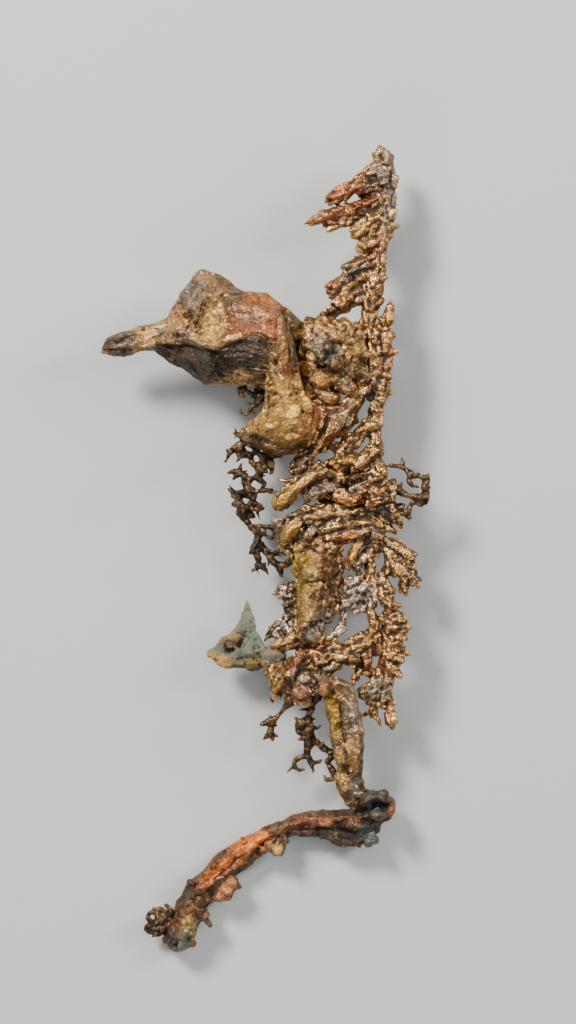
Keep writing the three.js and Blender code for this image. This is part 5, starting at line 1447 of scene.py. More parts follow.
CURL_ROUTES = (
    [(25.4, 12, 12.4, 0.8), (26.2, 12.6, 12.4, 0.9), (26.8, 12.1, 12.4, 0.8), (28, 11.5, 12.4, 0.6),
     (29.5, 11.1, 12.5, 0.6), (30.8, 10.8, 12.5, 0.95), (31.8, 11.1, 12.5, 0.9), (32, 12.3, 12.6, 0.7),
     (31.5, 13, 12.8, 0.6), (32.2, 13.8, 13, 0.6), (32.2, 14.8, 13, 0.6), (31.2, 15.1, 13, 0.5),
     (30, 15.3, 13, 0.55), (28.8, 15.6, 13, 0.6), (28, 16.5, 13, 0.5), (27, 17.1, 13, 0.5),
     (25.5, 17.4, 13, 0.45), (23.9, 17.3, 13, 0.28)],
    [(26.6, 17.2, 13, 0.6), (27.2, 17.7, 13, 0.5), (27.1, 18.8, 13, 0.2)],
    [(28.9, 15.6, 13, 0.6), (28.6, 14.4, 13, 0.55), (29.1, 13.5, 13, 0.5), (30.3, 13.1, 13, 0.3)],
    [(31.6, 14.6, 13, 0.4), (31.4, 13.6, 12.8, 0.4), (31.8, 13, 12.8, 0.4)],
    [(26.4, 12.8, 12.2, 0.6), (27, 13.7, 12.4, 0.35)],
    [(31.9, 10.4, 12.5, 0.8), (31.2, 10, 12.5, 0.8), (30.2, 10.2, 12.4, 0.6), (29, 9.6, 12.3, 0.45),
     (28.7, 8.8, 12.3, 0.5), (28.5, 7.9, 12.2, 0.6), (27.6, 7.9, 12.1, 0.7), (27, 8.6, 12, 0.6)],
    [(28.4, 8, 12.2, 0.6), (28.3, 7.3, 12.2, 0.5), (29, 6.9, 12.2, 0.25)],
    [(32.2, 15, 13, 0.5), (32.4, 15.6, 13, 0.3)],
    [(32.2, 13.6, 13, 0.5), (32.7, 13, 13, 0.25)],
)

FOOT_ROUTES = (
    [(-14, -71.4, 5.4, 2.2), (-16, -74.6, 5, 2.7), (-17.6, -77.6, 4.4, 2.6), (-18.4, -79.8, 3.8, 1.7)],
    [(-18.6, -78.4, 4, 1.6), (-20.4, -78.4, 4, 1.2)],
    [(11, -57.4, 6, 0.7), (14, -58, 6, 0.9), (17, -58.6, 6, 1.0), (20, -58, 6, 0.9)],
    [(5.6, -53.6, 6.4, 0.8), (4.6, -53.6, 6.4, 0.5)],
    [(20, -50.2, 8, 1.6), (22.6, -49.4, 8, 1.4), (24.8, -51, 7.6, 1.4)],
    [(21.4, -57.4, 6.6, 1.2), (20.6, -58.6, 6, 0.9)],
)

# Each crystal is (place, way it points, width, length), in millimetres.
FOOT_CRYSTALS = (
    ((1.4, -58.8, 6.2), (0.5, -0.75, 0.35), 3.2, 3.4),
    ((-0.6, -60, 5.8), (-0.3, -0.8, 0.2), 1.8, 1.6),
    ((3.4, -57.8, 6), (0.8, -0.4, 0.3), 2, 1.8),
    ((-7, -66.2, 5.8), (0.6, -0.7, 0.3), 2.4, 2.6),
    ((-8.6, -67.8, 5.6), (0.7, -0.6, 0.4), 2.4, 2.8),
    ((-9.8, -69.4, 5.4), (0.6, -0.8, 0.1), 2, 2.2),
    ((-7.6, -69.2, 5.4), (0.2, -0.9, 0.5), 1.8, 2),
    ((-6, -67.6, 5.4), (0.9, -0.1, 0.4), 1.6, 1.8),
    ((-10.4, -63.2, 5.8), (-0.6, 0.7, 0.2), 1.3, 1.5),
    ((-4.6, -58.4, 5.8), (-0.5, 0.8, 0.3), 1.2, 1.3),
    ((-14.8, -66.8, 5.4), (-0.8, 0.4, 0.2), 1.3, 1.4),
    ((-15.4, -73.4, 6.8), (0.4, -0.2, 0.9), 2.6, 2.2),
    ((-13.4, -73.6, 5.8), (0.9, 0.2, 0.4), 2.4, 3),
    ((-12, -74.4, 5.4), (0.5, -0.8, 0.2), 2, 2.2),
    ((-17, -76.6, 6), (-0.2, -0.5, 0.8), 2.8, 2.4),
    ((-15.4, -78.4, 4.8), (0.6, -0.6, 0.5), 2.2, 2.2),
    ((-18.2, -79.4, 4.6), (-0.2, -0.7, 0.6), 2.4, 2.2),
    ((20.6, -49.8, 9), (-0.5, 0.5, 0.6), 3, 2.8),
    ((23.4, -49.4, 8.6), (0.4, 0.7, 0.5), 2.8, 2.6),
    ((24.2, -51.8, 8), (0.5, -0.2, 0.7), 2.4, 2),
    ((22.4, -52.4, 9.4), (0.1, -0.2, 0.9), 3, 2),
    ((21.4, -56.6, 7), (0.5, -0.8, 0.3), 2, 2.4),
)

LEFT_TWIG_ROUTES = (
    [(5.6, -28.6, 11.4, 1.1), (4.8, -29.8, 11, 0.9), (4, -30.8, 10.6, 0.6), (3.2, -32, 10.2, 0.5),
     (2.2, -33, 10, 0.5), (1.2, -33.9, 9.8, 0.95), (1, -35.2, 9.6, 0.75), (0.8, -36.4, 9.4, 0.85)],
    [(1, -34, 9.8, 0.8), (-0.2, -34.3, 9.6, 0.6), (-1.1, -34.7, 9.5, 0.25)],
    [(1, -34, 9.8, 0.6), (0.8, -32.9, 9.8, 0.25)],
    [(1.2, -34.2, 9.8, 0.7), (2, -34.8, 9.8, 0.3)],
    [(0.8, -36.4, 9.4, 0.7), (-0.5, -37.5, 9.3, 0.25)],
    [(0.8, -36.4, 9.4, 0.7), (1.3, -37.7, 9.3, 0.25)],
    [(1, -36.2, 9.4, 0.6), (2.2, -36.9, 9.4, 0.25)],
    [(2, -28.2, 10.6, 0.5), (1.2, -29.2, 10.4, 0.4), (1.4, -30, 10.4, 0.2)],
)

MIDDLE_TWIG_ROUTES = (
    [(10.4, -28.2, 11.8, 1.3), (9.8, -29.6, 11.2, 1), (9.2, -31, 10.6, 0.7), (8.7, -33, 10, 0.6),
     (8.9, -34.8, 9.6, 0.8), (8.6, -36.4, 9.3, 1), (8.6, -37.6, 9, 0.9), (8.4, -39.2, 8.8, 0.9),
     (8.2, -40.8, 8.5, 0.6), (6.8, -41.3, 8.2, 0.55), (5.7, -42.2, 8, 0.55), (5.7, -43.2, 7.8, 0.45),
     (6.6, -43.8, 7.8, 0.4), (7.6, -43.7, 7.8, 0.25)],
    [(8.4, -34, 9.8, 0.6), (7.4, -34.2, 9.8, 0.9), (6.5, -34.6, 9.8, 0.95), (6.6, -35.8, 9.6, 0.7),
     (7.6, -36.6, 9.4, 0.7)],
    [(6.6, -34, 9.8, 0.8), (6, -33.4, 9.8, 0.35)],
    [(8.8, -35.2, 9.5, 0.6), (10.2, -35.3, 9.5, 0.45), (10.8, -34.8, 9.5, 0.25)],
    [(7.8, -37.4, 9.2, 0.6), (6.6, -37.6, 9.2, 0.35)],
    [(8.4, -41, 8.5, 0.6), (9, -42.3, 8.2, 0.6), (9.5, -44.2, 8, 0.25)],
    [(9, -42.2, 8.2, 0.5), (10.4, -42.2, 8.2, 0.5), (11, -41.8, 8.2, 0.25)],
    [(8.9, -36.8, 9.2, 0.9), (9.9, -37.8, 9, 0.6), (11, -39.1, 8.6, 0.6), (12.4, -39.8, 8.4, 0.75),
     (13.3, -40.9, 8.2, 0.7), (12.4, -42, 8, 0.6), (12.8, -43, 8, 0.6), (13.5, -44.3, 7.8, 0.65),
     (13.6, -45.4, 7.6, 0.5), (12.3, -45.8, 7.6, 0.4), (11.7, -45.1, 7.6, 0.25)],
    [(11, -39.2, 8.6, 0.5), (11.5, -38.1, 8.8, 0.25)],
    [(13.2, -44, 7.8, 0.5), (14.2, -44.2, 7.8, 0.25)],
)

TOE_ROUTES = (
    [(-18.6, -76, 4, 1), (-20, -75.4, 4.4, 0.9), (-21, -74.6, 4.6, 0.8), (-22, -73.6, 4.8, 0.6),
     (-22.9, -72.8, 5, 0.5), (-23.8, -73.2, 5, 0.45), (-23.9, -74.2, 5, 0.45), (-23.2, -74.8, 4.8, 0.5),
     (-22.2, -74.6, 4.6, 0.55)],
    [(-20.4, -75.2, 4.4, 0.7), (-20.2, -73.8, 4.6, 0.6), (-20.6, -72.6, 4.8, 0.55),
     (-21.8, -72.2, 5, 0.5), (-22.6, -72.6, 5, 0.4)],
    [(-21.4, -75, 4.4, 0.7), (-22.6, -75.6, 4.4, 0.6), (-23.9, -75.4, 4.4, 0.5),
     (-24.3, -76.3, 4.2, 0.45), (-23.6, -77.1, 4.2, 0.45), (-22.6, -76.9, 4.2, 0.4)],
    [(-20.6, -76.2, 4, 0.8), (-21.8, -77.2, 4, 0.6), (-23, -77.8, 4, 0.3)],
    [(-19.4, -74.6, 4.6, 0.8), (-20.8, -73.6, 4.8, 0.7), (-22, -73, 5, 0.5), (-22.8, -71.9, 5, 0.25)],
    [(-20, -76, 4.4, 0.7), (-21.6, -76, 4.6, 0.6), (-23, -76.2, 4.6, 0.5), (-24, -75.4, 4.6, 0.25)],
    [(-21, -73.2, 4.6, 0.6), (-21.6, -74.4, 4.4, 0.6), (-22.8, -75.2, 4.4, 0.6),
     (-23.4, -76.4, 4.2, 0.4)],
    [(-19.2, -72.8, 4.8, 0.5), (-19.8, -71.8, 4.8, 0.45), (-20.6, -71.4, 4.8, 0.2)],
    [(-19.6, -76, 4.2, 0.8), (-19, -74.6, 4.4, 0.6), (-19.4, -73.4, 4.6, 0.4)],
    [(-18.4, -75.4, 5, 0.8), (-17.6, -76.6, 5.4, 0.7), (-18.4, -78, 5.4, 0.6), (-19.8, -78.4, 5, 0.5)],
)


# -------------------------------------------------------------------- films on the metal

# Each zone is (colour, strength, spread, outline). An outline of one place is a spot, and one
# of two places is a line.

LOBE_ZONES = (
    ("ochre", 0.85, 0.4, [(0, 34), (7, 35), (10, 27), (9, 21), (3, 19), (-5, 22), (-2, 27)]),
    ("ochre", 0.6, 0.3, [(1, 41), (5, 42), (4.6, 38), (0, 36.6)]),
    ("pink", 0.75, 0.3, [(-6.5, 43.5), (-5, 48.5), (1, 49), (3.2, 45.5), (1, 42.5)]),
    ("red", 0.6, 0.9, [(-7.5, 46.5), (-5, 44.5)]),
    ("red", 0.65, 1.5, [(1, 45), (2, 44)]),
    ("grey", 0.5, 1.0, [(-4.5, 46.5), (-2, 46.8)]),
    ("orange", 0.5, 0.9, [(-3.5, 50.6), (0.5, 50.6), (2.6, 49)]),
    ("dark", 0.6, 0.8, [(3.6, 47.6), (5.4, 46.2)]),
    ("straw", 0.7, 0.0, [(-14.6, 42), (-10.4, 50), (-8.6, 46.5), (-8.2, 43.6), (-9.6, 40.8)]),
    ("ochre", 0.6, 0.0, [(-12, 43), (-10.2, 48), (-9, 45), (-9.6, 42)]),
    ("grey", 0.7, 0.0, [(-17.4, 50.6), (-13.6, 55.5), (-10.8, 54.5), (-14.4, 47.5), (-16.2, 48.4)]),
    ("pink", 0.7, 0.3, [(-18.6, 47.8), (-16.6, 49.2), (-15.2, 45.2), (-17.8, 44.4)]),
    ("pink", 0.5, 0.8, [(-12, 54), (-9, 51.8)]),
    ("grey", 0.7, 0.6, [(-21.5, 44), (-18.5, 44.8), (-16, 43)]),
    ("straw", 0.8, 0.7, [(-25.5, 43.8), (-22.5, 43)]),
    ("dark", 0.95, 0.1, [
        (-22, 41.9), (-18, 41.2), (-15.5, 41.9), (-12, 40.6), (-10, 39.6), (-8, 40.6), (-5, 41.6),
        (-2, 42.8), (0, 41.6), (2, 41), (1.6, 38.6), (-1, 37.5), (-2, 36.4), (-5, 36.8),
        (-8, 35.5), (-9, 35), (-12.5, 33.2), (-15, 34.5), (-19.5, 37.2), (-23, 39.6)]),
    ("rust", 0.6, 0.5, [(-18, 40.2), (-15.5, 38.4)]),
    ("dark", 0.92, 0.2, [
        (-33.4, 40.5), (-31, 43.4), (-28, 44.3), (-26.2, 42.6), (-28, 41.2), (-31, 40.4)]),
    ("dark", 0.85, 0.5, [(-31, 39.3), (-27, 39.3)]),
    # A painted highlight along the top of the beak.
    ("straw", 0.4, 0.25, [(-29, 41.3), (-26.6, 41.6)]),
    ("pink", 0.8, 0.6, [(-33, 40.8)]),
    ("red", 0.6, 1.1, [(3.8, 37), (4.4, 35.8)]),
    # Painted shade along the underside of the breast.
    ("dark", 0.9, 0.9, [(3.6, 19.6), (5.4, 20.2), (7.6, 21.4)]),
    ("dark", 0.95, 0.7, [(-4.8, 22.8), (-2, 21), (1, 19.8)]),
    ("dark", 0.9, 0.6, [(-5.4, 24), (-3.4, 23.8), (-0.6, 22.4), (1.4, 21.6)]),
    ("red", 0.7, 0.8, [(9.6, 29.4), (9, 26), (7.6, 23.6)]),
    ("golden", 0.6, 0.8, [(-3, 26.4), (-0.6, 29), (0.4, 32)]),
    ("mustard", 0.4, 0.9, [(4.4, 29.4), (6, 26)]),
    ("dark", 0.85, 0.6, [(-32, 42.2), (-29, 43.6), (-26.4, 43.8)]),
    # A painted highlight along the top of the beak.
    ("grey", 0.6, 0.9, [(-29.6, 41.4), (-26.6, 42)]),
    ("ochre", 0.35, 1.6, [(-19, 45), (-16, 47)]),
    ("dark", 0.7, 0.5, [(5.8, 42), (5.9, 36)]),
    ("dark", 0.6, 0.2, [(-14.6, 44.4), (-10.2, 50.6)]),
    ("dark", 0.5, 0.2, [(-10.2, 50.6), (-6.6, 49.4), (-5, 47)]),
)

KNOB_ZONES = (
    ("ochre", 0.5, 2.0, [(11, 45), (12.5, 44.4)]),
    ("grey", 0.6, 2.0, [(10.6, 41.4), (12.4, 40.6)]),
    ("golden", 0.7, 1.4, [(15, 43.6), (18.6, 43), (19.4, 40)]),
    ("straw", 0.8, 0.4, [(16, 42), (17.5, 39)]),
    ("teal", 0.6, 0.6, [(14, 40), (11.8, 37.7)]),
    ("dark", 0.9, 0.9, [(10.5, 36.8)]),
    ("dark", 0.7, 0.3, [(15.4, 36), (18.4, 38), (18.6, 35.2)]),
    ("ochre", 0.6, 1.2, [(10.6, 34.6), (12.6, 33.6)]),
    ("grey", 0.5, 1.4, [(15.8, 33.5)]),
    ("grey", 0.6, 1.0, [(8.2, 34.6)]),
    ("straw", 0.5, 1.0, [(6, 44.6)]),
)

SPIRE_ZONES = (
    ("grey", 0.55, 0.6, [(21.5, 77.5), (23.2, 82), (25.6, 79), (26, 73), (25, 69.5), (23.4, 72)]),
    ("straw", 0.35, 0.8, [(22.6, 80.5), (21.5, 76.5)]),
    ("teal", 0.35, 0.9, [(20.6, 74.4), (22, 75.4)]),
    ("pink", 0.8, 1.1, [(12.4, 70.6), (18.4, 73.8)]),
    ("orange", 0.45, 0.6, [(15, 72), (17.4, 73.2)]),
    ("red", 0.7, 1.1, [(18, 69), (20.6, 71)]),
    ("pink", 0.65, 1.3, [(9.6, 66.8), (14.6, 67)]),
    ("ochre", 0.85, 1.4, [(18.2, 63.6), (20.2, 65.2)]),
    ("straw", 0.5, 1.1, [(18.9, 60.9)]),
    ("pink", 0.65, 1.3, [(22.8, 62), (22.6, 60.4)]),
    ("grey", 0.45, 1.2, [(24.6, 69), (24.8, 66)]),
    ("dark", 0.6, 0.5, [(17.6, 71.6), (21, 72.6)]),
)

LEAF_ZONES = (
    ("grey", 0.7, 1.2, [(19.4, 57.8), (16.4, 56.2)]),
    ("pink", 0.6, 1.3, [(12.8, 52.8), (14.6, 53.6)]),
    ("orange", 0.45, 1.1, [(15, 51), (16.6, 50.4)]),
    ("grey", 0.6, 0.9, [(19.6, 51), (17.6, 49.6)]),
    ("dark", 0.75, 0.9, [(10.4, 47.4), (13.2, 47.4), (15.6, 48.4)]),
)

COLUMN_ZONES = (
    ("grey", 0.5, 1.0, [(21, 36.5), (21.2, 33)]),
    ("pink", 0.6, 1.0, [(22, 38.6), (22.4, 36.6)]),
    ("pink", 0.5, 1.0, [(24.2, 42), (24.4, 38.5)]),
    ("straw", 0.4, 0.9, [(24.2, 48.6)]),
    ("golden", 0.7, 0.9, [(20.6, 25.4), (21.8, 24.6)]),
    ("ochre", 0.8, 0.9, [(16.5, 18.4), (13.2, 18)]),
    ("straw", 0.5, 0.8, [(18.6, 18), (20.6, 19.8)]),
    ("dark", 0.95, 0.8, [(20.8, 31)]),
)

INNER_ZONES = (
    ("red", 0.6, 1.0, [(12.6, 28), (11.4, 26.4)]),
    ("grey", 0.4, 1.1, [(16.4, 29.4), (15, 26)]),
    ("dark", 0.7, 0.7, [(13.6, 21.2)]),
)

UPPER_FERN_ZONES = (
    ("ochre", 0.85, 1.2, [(2.6, 9.9), (4.5, 11.6), (6.4, 13.4)]),
    ("golden", 0.7, 1.1, [(8.4, 15.2), (11.2, 16.4)]),
    ("grey", 0.7, 1.1, [(8.4, 11.4), (13, 13.2)]),
    ("orange", 0.5, 0.9, [(14.6, 11.2), (17.4, 10.4)]),
    ("straw", 0.6, 0.6, [(14.2, 11.8)]),
    ("grey", 0.6, 1.0, [(6.2, 17), (9, 19)]),
    ("straw", 0.7, 0.8, [(15, 15)]),
    ("red", 0.6, 1.0, [(22.2, 12.4), (21.4, 11)]),
    ("orange", 0.5, 0.8, [(19.6, 13), (19.8, 11.4)]),
    ("dark", 0.7, 0.6, [(17, 15), (20, 15.8)]),
    ("dark", 0.7, 0.9, [(22.4, 9), (23.6, 7.4)]),
    ("dark", 0.6, 0.5, [(11.6, 15.2), (13.6, 13.4)]),
    ("grey", 0.5, 1.0, [(17.3, 12.6), (18.6, 13)]),
)

LOWER_FERN_ZONES = (
    ("ochre", 0.9, 1.0, [(4, 3.6), (5.2, 4.8), (6.2, 6)]),
    ("dark", 0.6, 0.6, [(2.4, 3.4), (3.4, 5.6)]),
    ("golden", 0.7, 1.0, [(9, 7), (15, 9)]),
    ("straw", 0.6, 0.5, [(8, 9), (10.6, 8.8)]),
    ("orange", 0.5, 0.8, [(15, 2.4), (17.6, 3.6)]),
    ("pink", 0.6, 0.6, [(15, 4), (16.6, 4.6)]),
    ("golden", 0.7, 1.0, [(18.6, 3.4), (19.6, 5)]),
    ("grey", 0.6, 1.0, [(7, 2), (9, 4)]),
    ("grey", 0.7, 0.9, [(1.6, 6.4), (6, 8)]),
    ("silver", 0.7, 0.8, [(21.6, 4)]),
    ("ochre", 0.6, 0.8, [(17.8, 1.2), (17, -2)]),
    ("dark", 0.8, 0.5, [(19.2, 7), (20.8, 8)]),
)

RIB_ZONES = (
    ("mustard", 0.97, 0.5, [(6.2, 0.2), (8.8, 0), (9.2, -3), (8.8, -6.2), (6.8, -7), (6, -3.6)]),
    ("green", 0.5, 0.5, [(8.3, -2.4), (8.8, -4.8)]),
    ("ochre", 0.6, 1.0, [(7, -8.5), (7.6, -12.6)]),
    ("red", 0.4, 0.7, [(11.6, -1), (12.6, -4)]),
    ("pink", 0.5, 0.8, [(10, 0.6), (12, 1)]),
    ("grey", 0.7, 1.5, [(9.2, -16.4), (11.6, -12.6)]),
    ("straw", 0.6, 0.9, [(2, -18.6), (5.4, -17.6)]),
    ("dark", 0.95, 0.5, [(9.4, -15.8)]),
)

GREEN_ZONES = (
    ("ochre", 0.9, 1.1, [(-10.4, -21.2), (-8.2, -22.2)]),
    ("mustard", 0.7, 0.7, [(-4.4, -22.4), (-0.6, -21.8)]),
    ("dark", 0.9, 0.4, [(-6, -23.4), (-1.6, -23.8)]),
    ("ochre", 0.6, 0.5, [(-7.8, -16.8), (-6, -16.6)]),
    ("rust", 0.7, 0.3, [(-6.8, -17.4), (-5.6, -17)]),
    ("rust", 0.8, 0.4, [(-8, -18.4), (-6.6, -18)]),
    ("dark", 0.6, 0.4, [(3.8, -20.6), (3.6, -21.6)]),
)

ARM_ZONES = (
    ("golden", 0.7, 0.9, [(11, -21.4)]),
    ("golden", 0.6, 0.8, [(16, -20), (18.6, -18.4)]),
    ("ochre", 0.7, 0.8, [(21.7, -15.2), (21.6, -17)]),
    ("dark", 0.6, 0.5, [(17.4, -21.6)]),
    ("dark", 0.85, 0.4, [(10.6, -23.2), (11.8, -23)]),
    ("pink", 0.5, 1.0, [(12.4, -18.4), (10.8, -18.8)]),
    ("grey", 0.6, 0.8, [(13, -23), (10.4, -24.6)]),
    ("pink", 0.5, 0.8, [(8, -20), (8.8, -22)]),
)

COB_ZONES = (
    ("straw", 0.5, 0.7, [(25.2, -18.4), (27, -18.3)]),
    ("red", 0.5, 0.5, [(24.8, -19.5), (26.8, -19.3)]),
    ("grey", 0.6, 1.3, [(22.4, -25.4), (21.2, -27.4), (24, -28)]),
    ("green", 0.5, 1.0, [(21.4, -28), (20.2, -29)]),
    ("straw", 0.5, 0.8, [(25.4, -24)]),
    ("golden", 0.7, 0.9, [(24.9, -33.6)]),
    ("golden", 0.6, 0.7, [(22, -30.4)]),
)

HIP_ZONES = (
    ("ochre", 0.7, 0.9, [(1, -23.8), (2.6, -26), (1.6, -28)]),
    ("pink", 0.8, 1.5, [(6.8, -28)]),
    ("red", 0.6, 0.9, [(4.6, -22.4), (5.8, -21.4)]),
    ("rust", 0.7, 0.6, [(7.4, -21.4), (4.8, -25), (2.8, -27.4)]),
    ("grey", 0.6, 1.0, [(8, -24.8), (9.6, -24.4)]),
    ("silver", 0.5, 0.7, [(7.6, -25.8)]),
)

LEG_ZONES = (
    ("mustard", 0.9, 0.8, [(12.8, -28.6), (14.2, -30.4), (14, -33.4), (14.4, -36)]),
    ("straw", 0.5, 0.4, [(15, -36), (16.4, -40)]),
    ("grey", 0.6, 1.5, [(17.2, -27.6), (17, -31), (17.4, -35)]),
    ("pink", 0.4, 1.2, [(16.6, -38), (17.4, -42)]),
    ("pink", 0.8, 0.9, [(12, -27)]),
    ("ochre", 0.6, 0.8, [(14.4, -40), (15.4, -47)]),
    ("teal", 0.6, 0.9, [(17.8, -46), (17.6, -48.6)]),
)

FOOT_ZONES = (
    ("dark", 0.7, 0.7, [(3, -58.2), (10, -58.2), (18, -59), (24, -55.4)]),
    ("brown", 0.6, 0.9, [(4, -54.6), (14, -53.4)]),
    ("red", 0.55, 0.7, [(6, -54.4), (12, -54.2)]),
    ("teal", 0.7, 1.5, [(21, -49), (22.6, -52)]),
    ("dark", 0.85, 1.3, [(19, -50), (24, -49), (22, -54)]),
    ("teal", 0.75, 0.9, [(20.5, -56.2), (20.6, -57.6)]),
    ("teal", 0.6, 0.8, [(21.4, -51.4), (22.4, -50.8)]),
    ("red", 0.55, 0.6, [(25.5, -51.6)]),
    ("orange", 0.95, 1.4, [(-1, -57.4), (-5.4, -59.6)]),
    ("orange", 0.8, 0.8, [(-6, -61.6), (-10, -64.4), (-12.6, -67)]),
    ("straw", 0.7, 1.1, [(2.2, -60)]),
    ("pink", 0.85, 1.5, [(-8, -67.4), (-8.8, -70)]),
    ("straw", 0.6, 1.1, [(-15.8, -74.4)]),
    ("teal", 0.6, 1.2, [(-16.2, -77.4), (-17.4, -79)]),
    ("green", 0.45, 1.5, [(-15.4, -76), (-17.6, -80)]),
    ("grey", 0.6, 1.0, [(-12, -74)]),
    ("rust", 0.5, 0.9, [(-17.8, -74), (-18.6, -77)]),
    ("mustard", 0.5, 0.7, [(-14.8, -75.4), (-14.4, -78)]),
    ("dark", 0.8, 1.0, [(-20, -77), (-19.4, -80.6)]),
    ("dark", 0.7, 0.7, [(-13, -63.4), (-18, -70.6)]),
)


# ---------------------------------------------------------------------------- operators

# The crusts of the knobby cluster and of the rib. Spacing and size are in millimetres.
GRIT = {"spacing": 2.3, "size": 2.3, "stretch": 1.0, "lean": 0.4, "kind": "block"}
BUMPS = {"spacing": 1.7, "size": 0.9, "stretch": 1.0, "lean": 0.3, "kind": "nub"}


class COPPER_OT_heavy_lobe(bpy.types.Operator):
    """Shape the heavy lobe with its crest, beak-like prong, neck and breast"""

    bl_idname = "copper.heavy_lobe"
    bl_label = "Heavy lobe"

    def execute(self, context):
        pile = Pile("heavy_lobe_ridges")
        for route in RIDGE_ROUTES:
            pile.strand(route)
        parts = [core_of("heavy_lobe", 0.05), new_object(pile.name, pile.mesh())]
        piece = fuse("heavy_lobe_grown", parts, sizes().massive_grain)
        smooth(piece, 3)
        relief(piece, "broad_clouds", "CLOUDS", 6, 0.6, noise_depth=1)
        pull(piece, BREAST_PULLS)
        scallops(piece, 5.0, 0.8)
        streaks(piece, LOBE_STREAKS)
        creases(piece, LOBE_CREASES)
        relief(piece, "fine_clouds", "CLOUDS", 1.0, 0.22, noise_depth=3)
        finish_branch(piece, "heavy_lobe", "massive_copper", zones=LOBE_ZONES, wear_and_shading=0.35)
        return {"FINISHED"}


class COPPER_OT_knobs(bpy.types.Operator):
    """Grow the rounded crystals packed beside the neck"""

    bl_idname = "copper.knobs"
    bl_label = "Knobby cluster"

    def execute(self, context):
        grown_branch("knobby_cluster", "knobby_copper", KNOB_ROUTES, crusts=[GRIT],
                     root=(13, 38, 8), zones=KNOB_ZONES, swell=-0.2, kernel=2.4, wear_and_shading=0.5,
                     depth=1.6, long=0.6)
        return {"FINISHED"}


class COPPER_OT_beaded_branches(bpy.types.Operator):
    """Grow the beaded branches: spire, side leaf, column, inner branch, lower arm and cob"""

    bl_idname = "copper.beaded_branches"
    bl_label = "Beaded branches"

    def execute(self, context):
        branches = (
            ("spire", SPIRE_ROUTES, SPIRE_WIRES, SPIRE_ZONES),
            ("side_leaf", LEAF_ROUTES, (), LEAF_ZONES),
            ("column", COLUMN_ROUTES, (), COLUMN_ZONES),
            ("inner_branch", INNER_ROUTES, (), INNER_ZONES),
            ("lower_arm", ARM_ROUTES, (), ARM_ZONES),
            ("outer_cob", COB_ROUTES, COB_WIRES, COB_ZONES),
        )
        for node, cobs, wires, zones in branches:
            grown_branch(node, "beaded_copper", cobs, wires, zones=zones, kernel=1.4,
                         depth=0.65)
        return {"FINISHED"}


class COPPER_OT_ferns(bpy.types.Operator):
    """Grow the two sets of leaf-like crystals"""

    bl_idname = "copper.ferns"
    bl_label = "Ferns"

    def execute(self, context):
        ferns = (
            ("upper_fern", UPPER_FERN_ROUTES, UPPER_FERN_WIRES, UPPER_FERN_ZONES),
            ("lower_fern", LOWER_FERN_ROUTES, LOWER_FERN_WIRES, LOWER_FERN_ZONES),
        )
        for node, cobs, wires, zones in ferns:
            grown_branch(node, "leafy_copper", cobs, wires, zones=zones, swell=-0.3, stout=1.2,
                         wear_and_shading=1.3)
        return {"FINISHED"}


class COPPER_OT_bright_clusters(bpy.types.Operator):
    """Grow the outer fingers, the grey cluster and the pearly tuft"""

    bl_idname = "copper.bright_clusters"
    bl_label = "Bright clusters"

    def execute(self, context):
        grown_branch("outer_fingers", "fingered_copper", FINGER_ROUTES, kernel=1.1, wear_and_shading=1.2)
        grown_branch("grey_cluster", "silvery_copper", GREY_ROUTES, kernel=1.1)
        grown_branch("pearl_cluster", "pearly_copper", PEARL_ROUTES, kernel=1.0)
        return {"FINISHED"}


class COPPER_OT_rib(bpy.types.Operator):
    """Shape the gritty rib in the middle"""

    bl_idname = "copper.rib"
    bl_label = "Central rib"

    def execute(self, context):
        grown_branch("central_rib", "gritty_copper", RIB_ROUTES, crusts=[BUMPS],
                     root=(10, 1, 12), zones=RIB_ZONES, swell=-0.3, kernel=1.0, depth=1.4,
                     wear_and_shading=0.7, long=0.8)
        return {"FINISHED"}


class COPPER_OT_green_lobe(bpy.types.Operator):
    """Shape the lobe under the grey-green crust"""

    bl_idname = "copper.green_lobe"
    bl_label = "Green lobe"

    def execute(self, context):
        piece = fuse("green_lobe_grown", [core_of("green_lobe", 0.2)], sizes().crystal_grain)
        smooth(piece, 3)
        relief(piece, "edge_clouds", "CLOUDS", 2.4, 1.4, noise_depth=3)
        scallops(piece, 2.8, 0.7)
        grains(piece, 0.5, 0.08)
        finish_branch(piece, "green_lobe", "green_crust", zones=GREEN_ZONES, wear_and_shading=0.5)
        return {"FINISHED"}


class COPPER_OT_hip_and_leg(bpy.types.Operator):
    """Shape the knotted hip and the thick leg"""

    bl_idname = "copper.hip_and_leg"
    bl_label = "Hip and leg"

    def execute(self, context):
        grown_branch("hip", "massive_copper", HIP_ROUTES, zones=HIP_ZONES, swell=-0.1,
                     depth=1.5, wear_and_shading=0.65)
        piece = fuse("leg_grown", [core_of("leg", 0.2)], sizes().crystal_grain)
        smooth(piece, 3)
        scallops(piece, 2.8, 0.9)
        creases(piece, LEG_CREASES)
        crystal_relief(piece, 1.2)
        finish_branch(piece, "leg", "massive_copper", zones=LEG_ZONES, wear_and_shading=0.4)
        return {"FINISHED"}


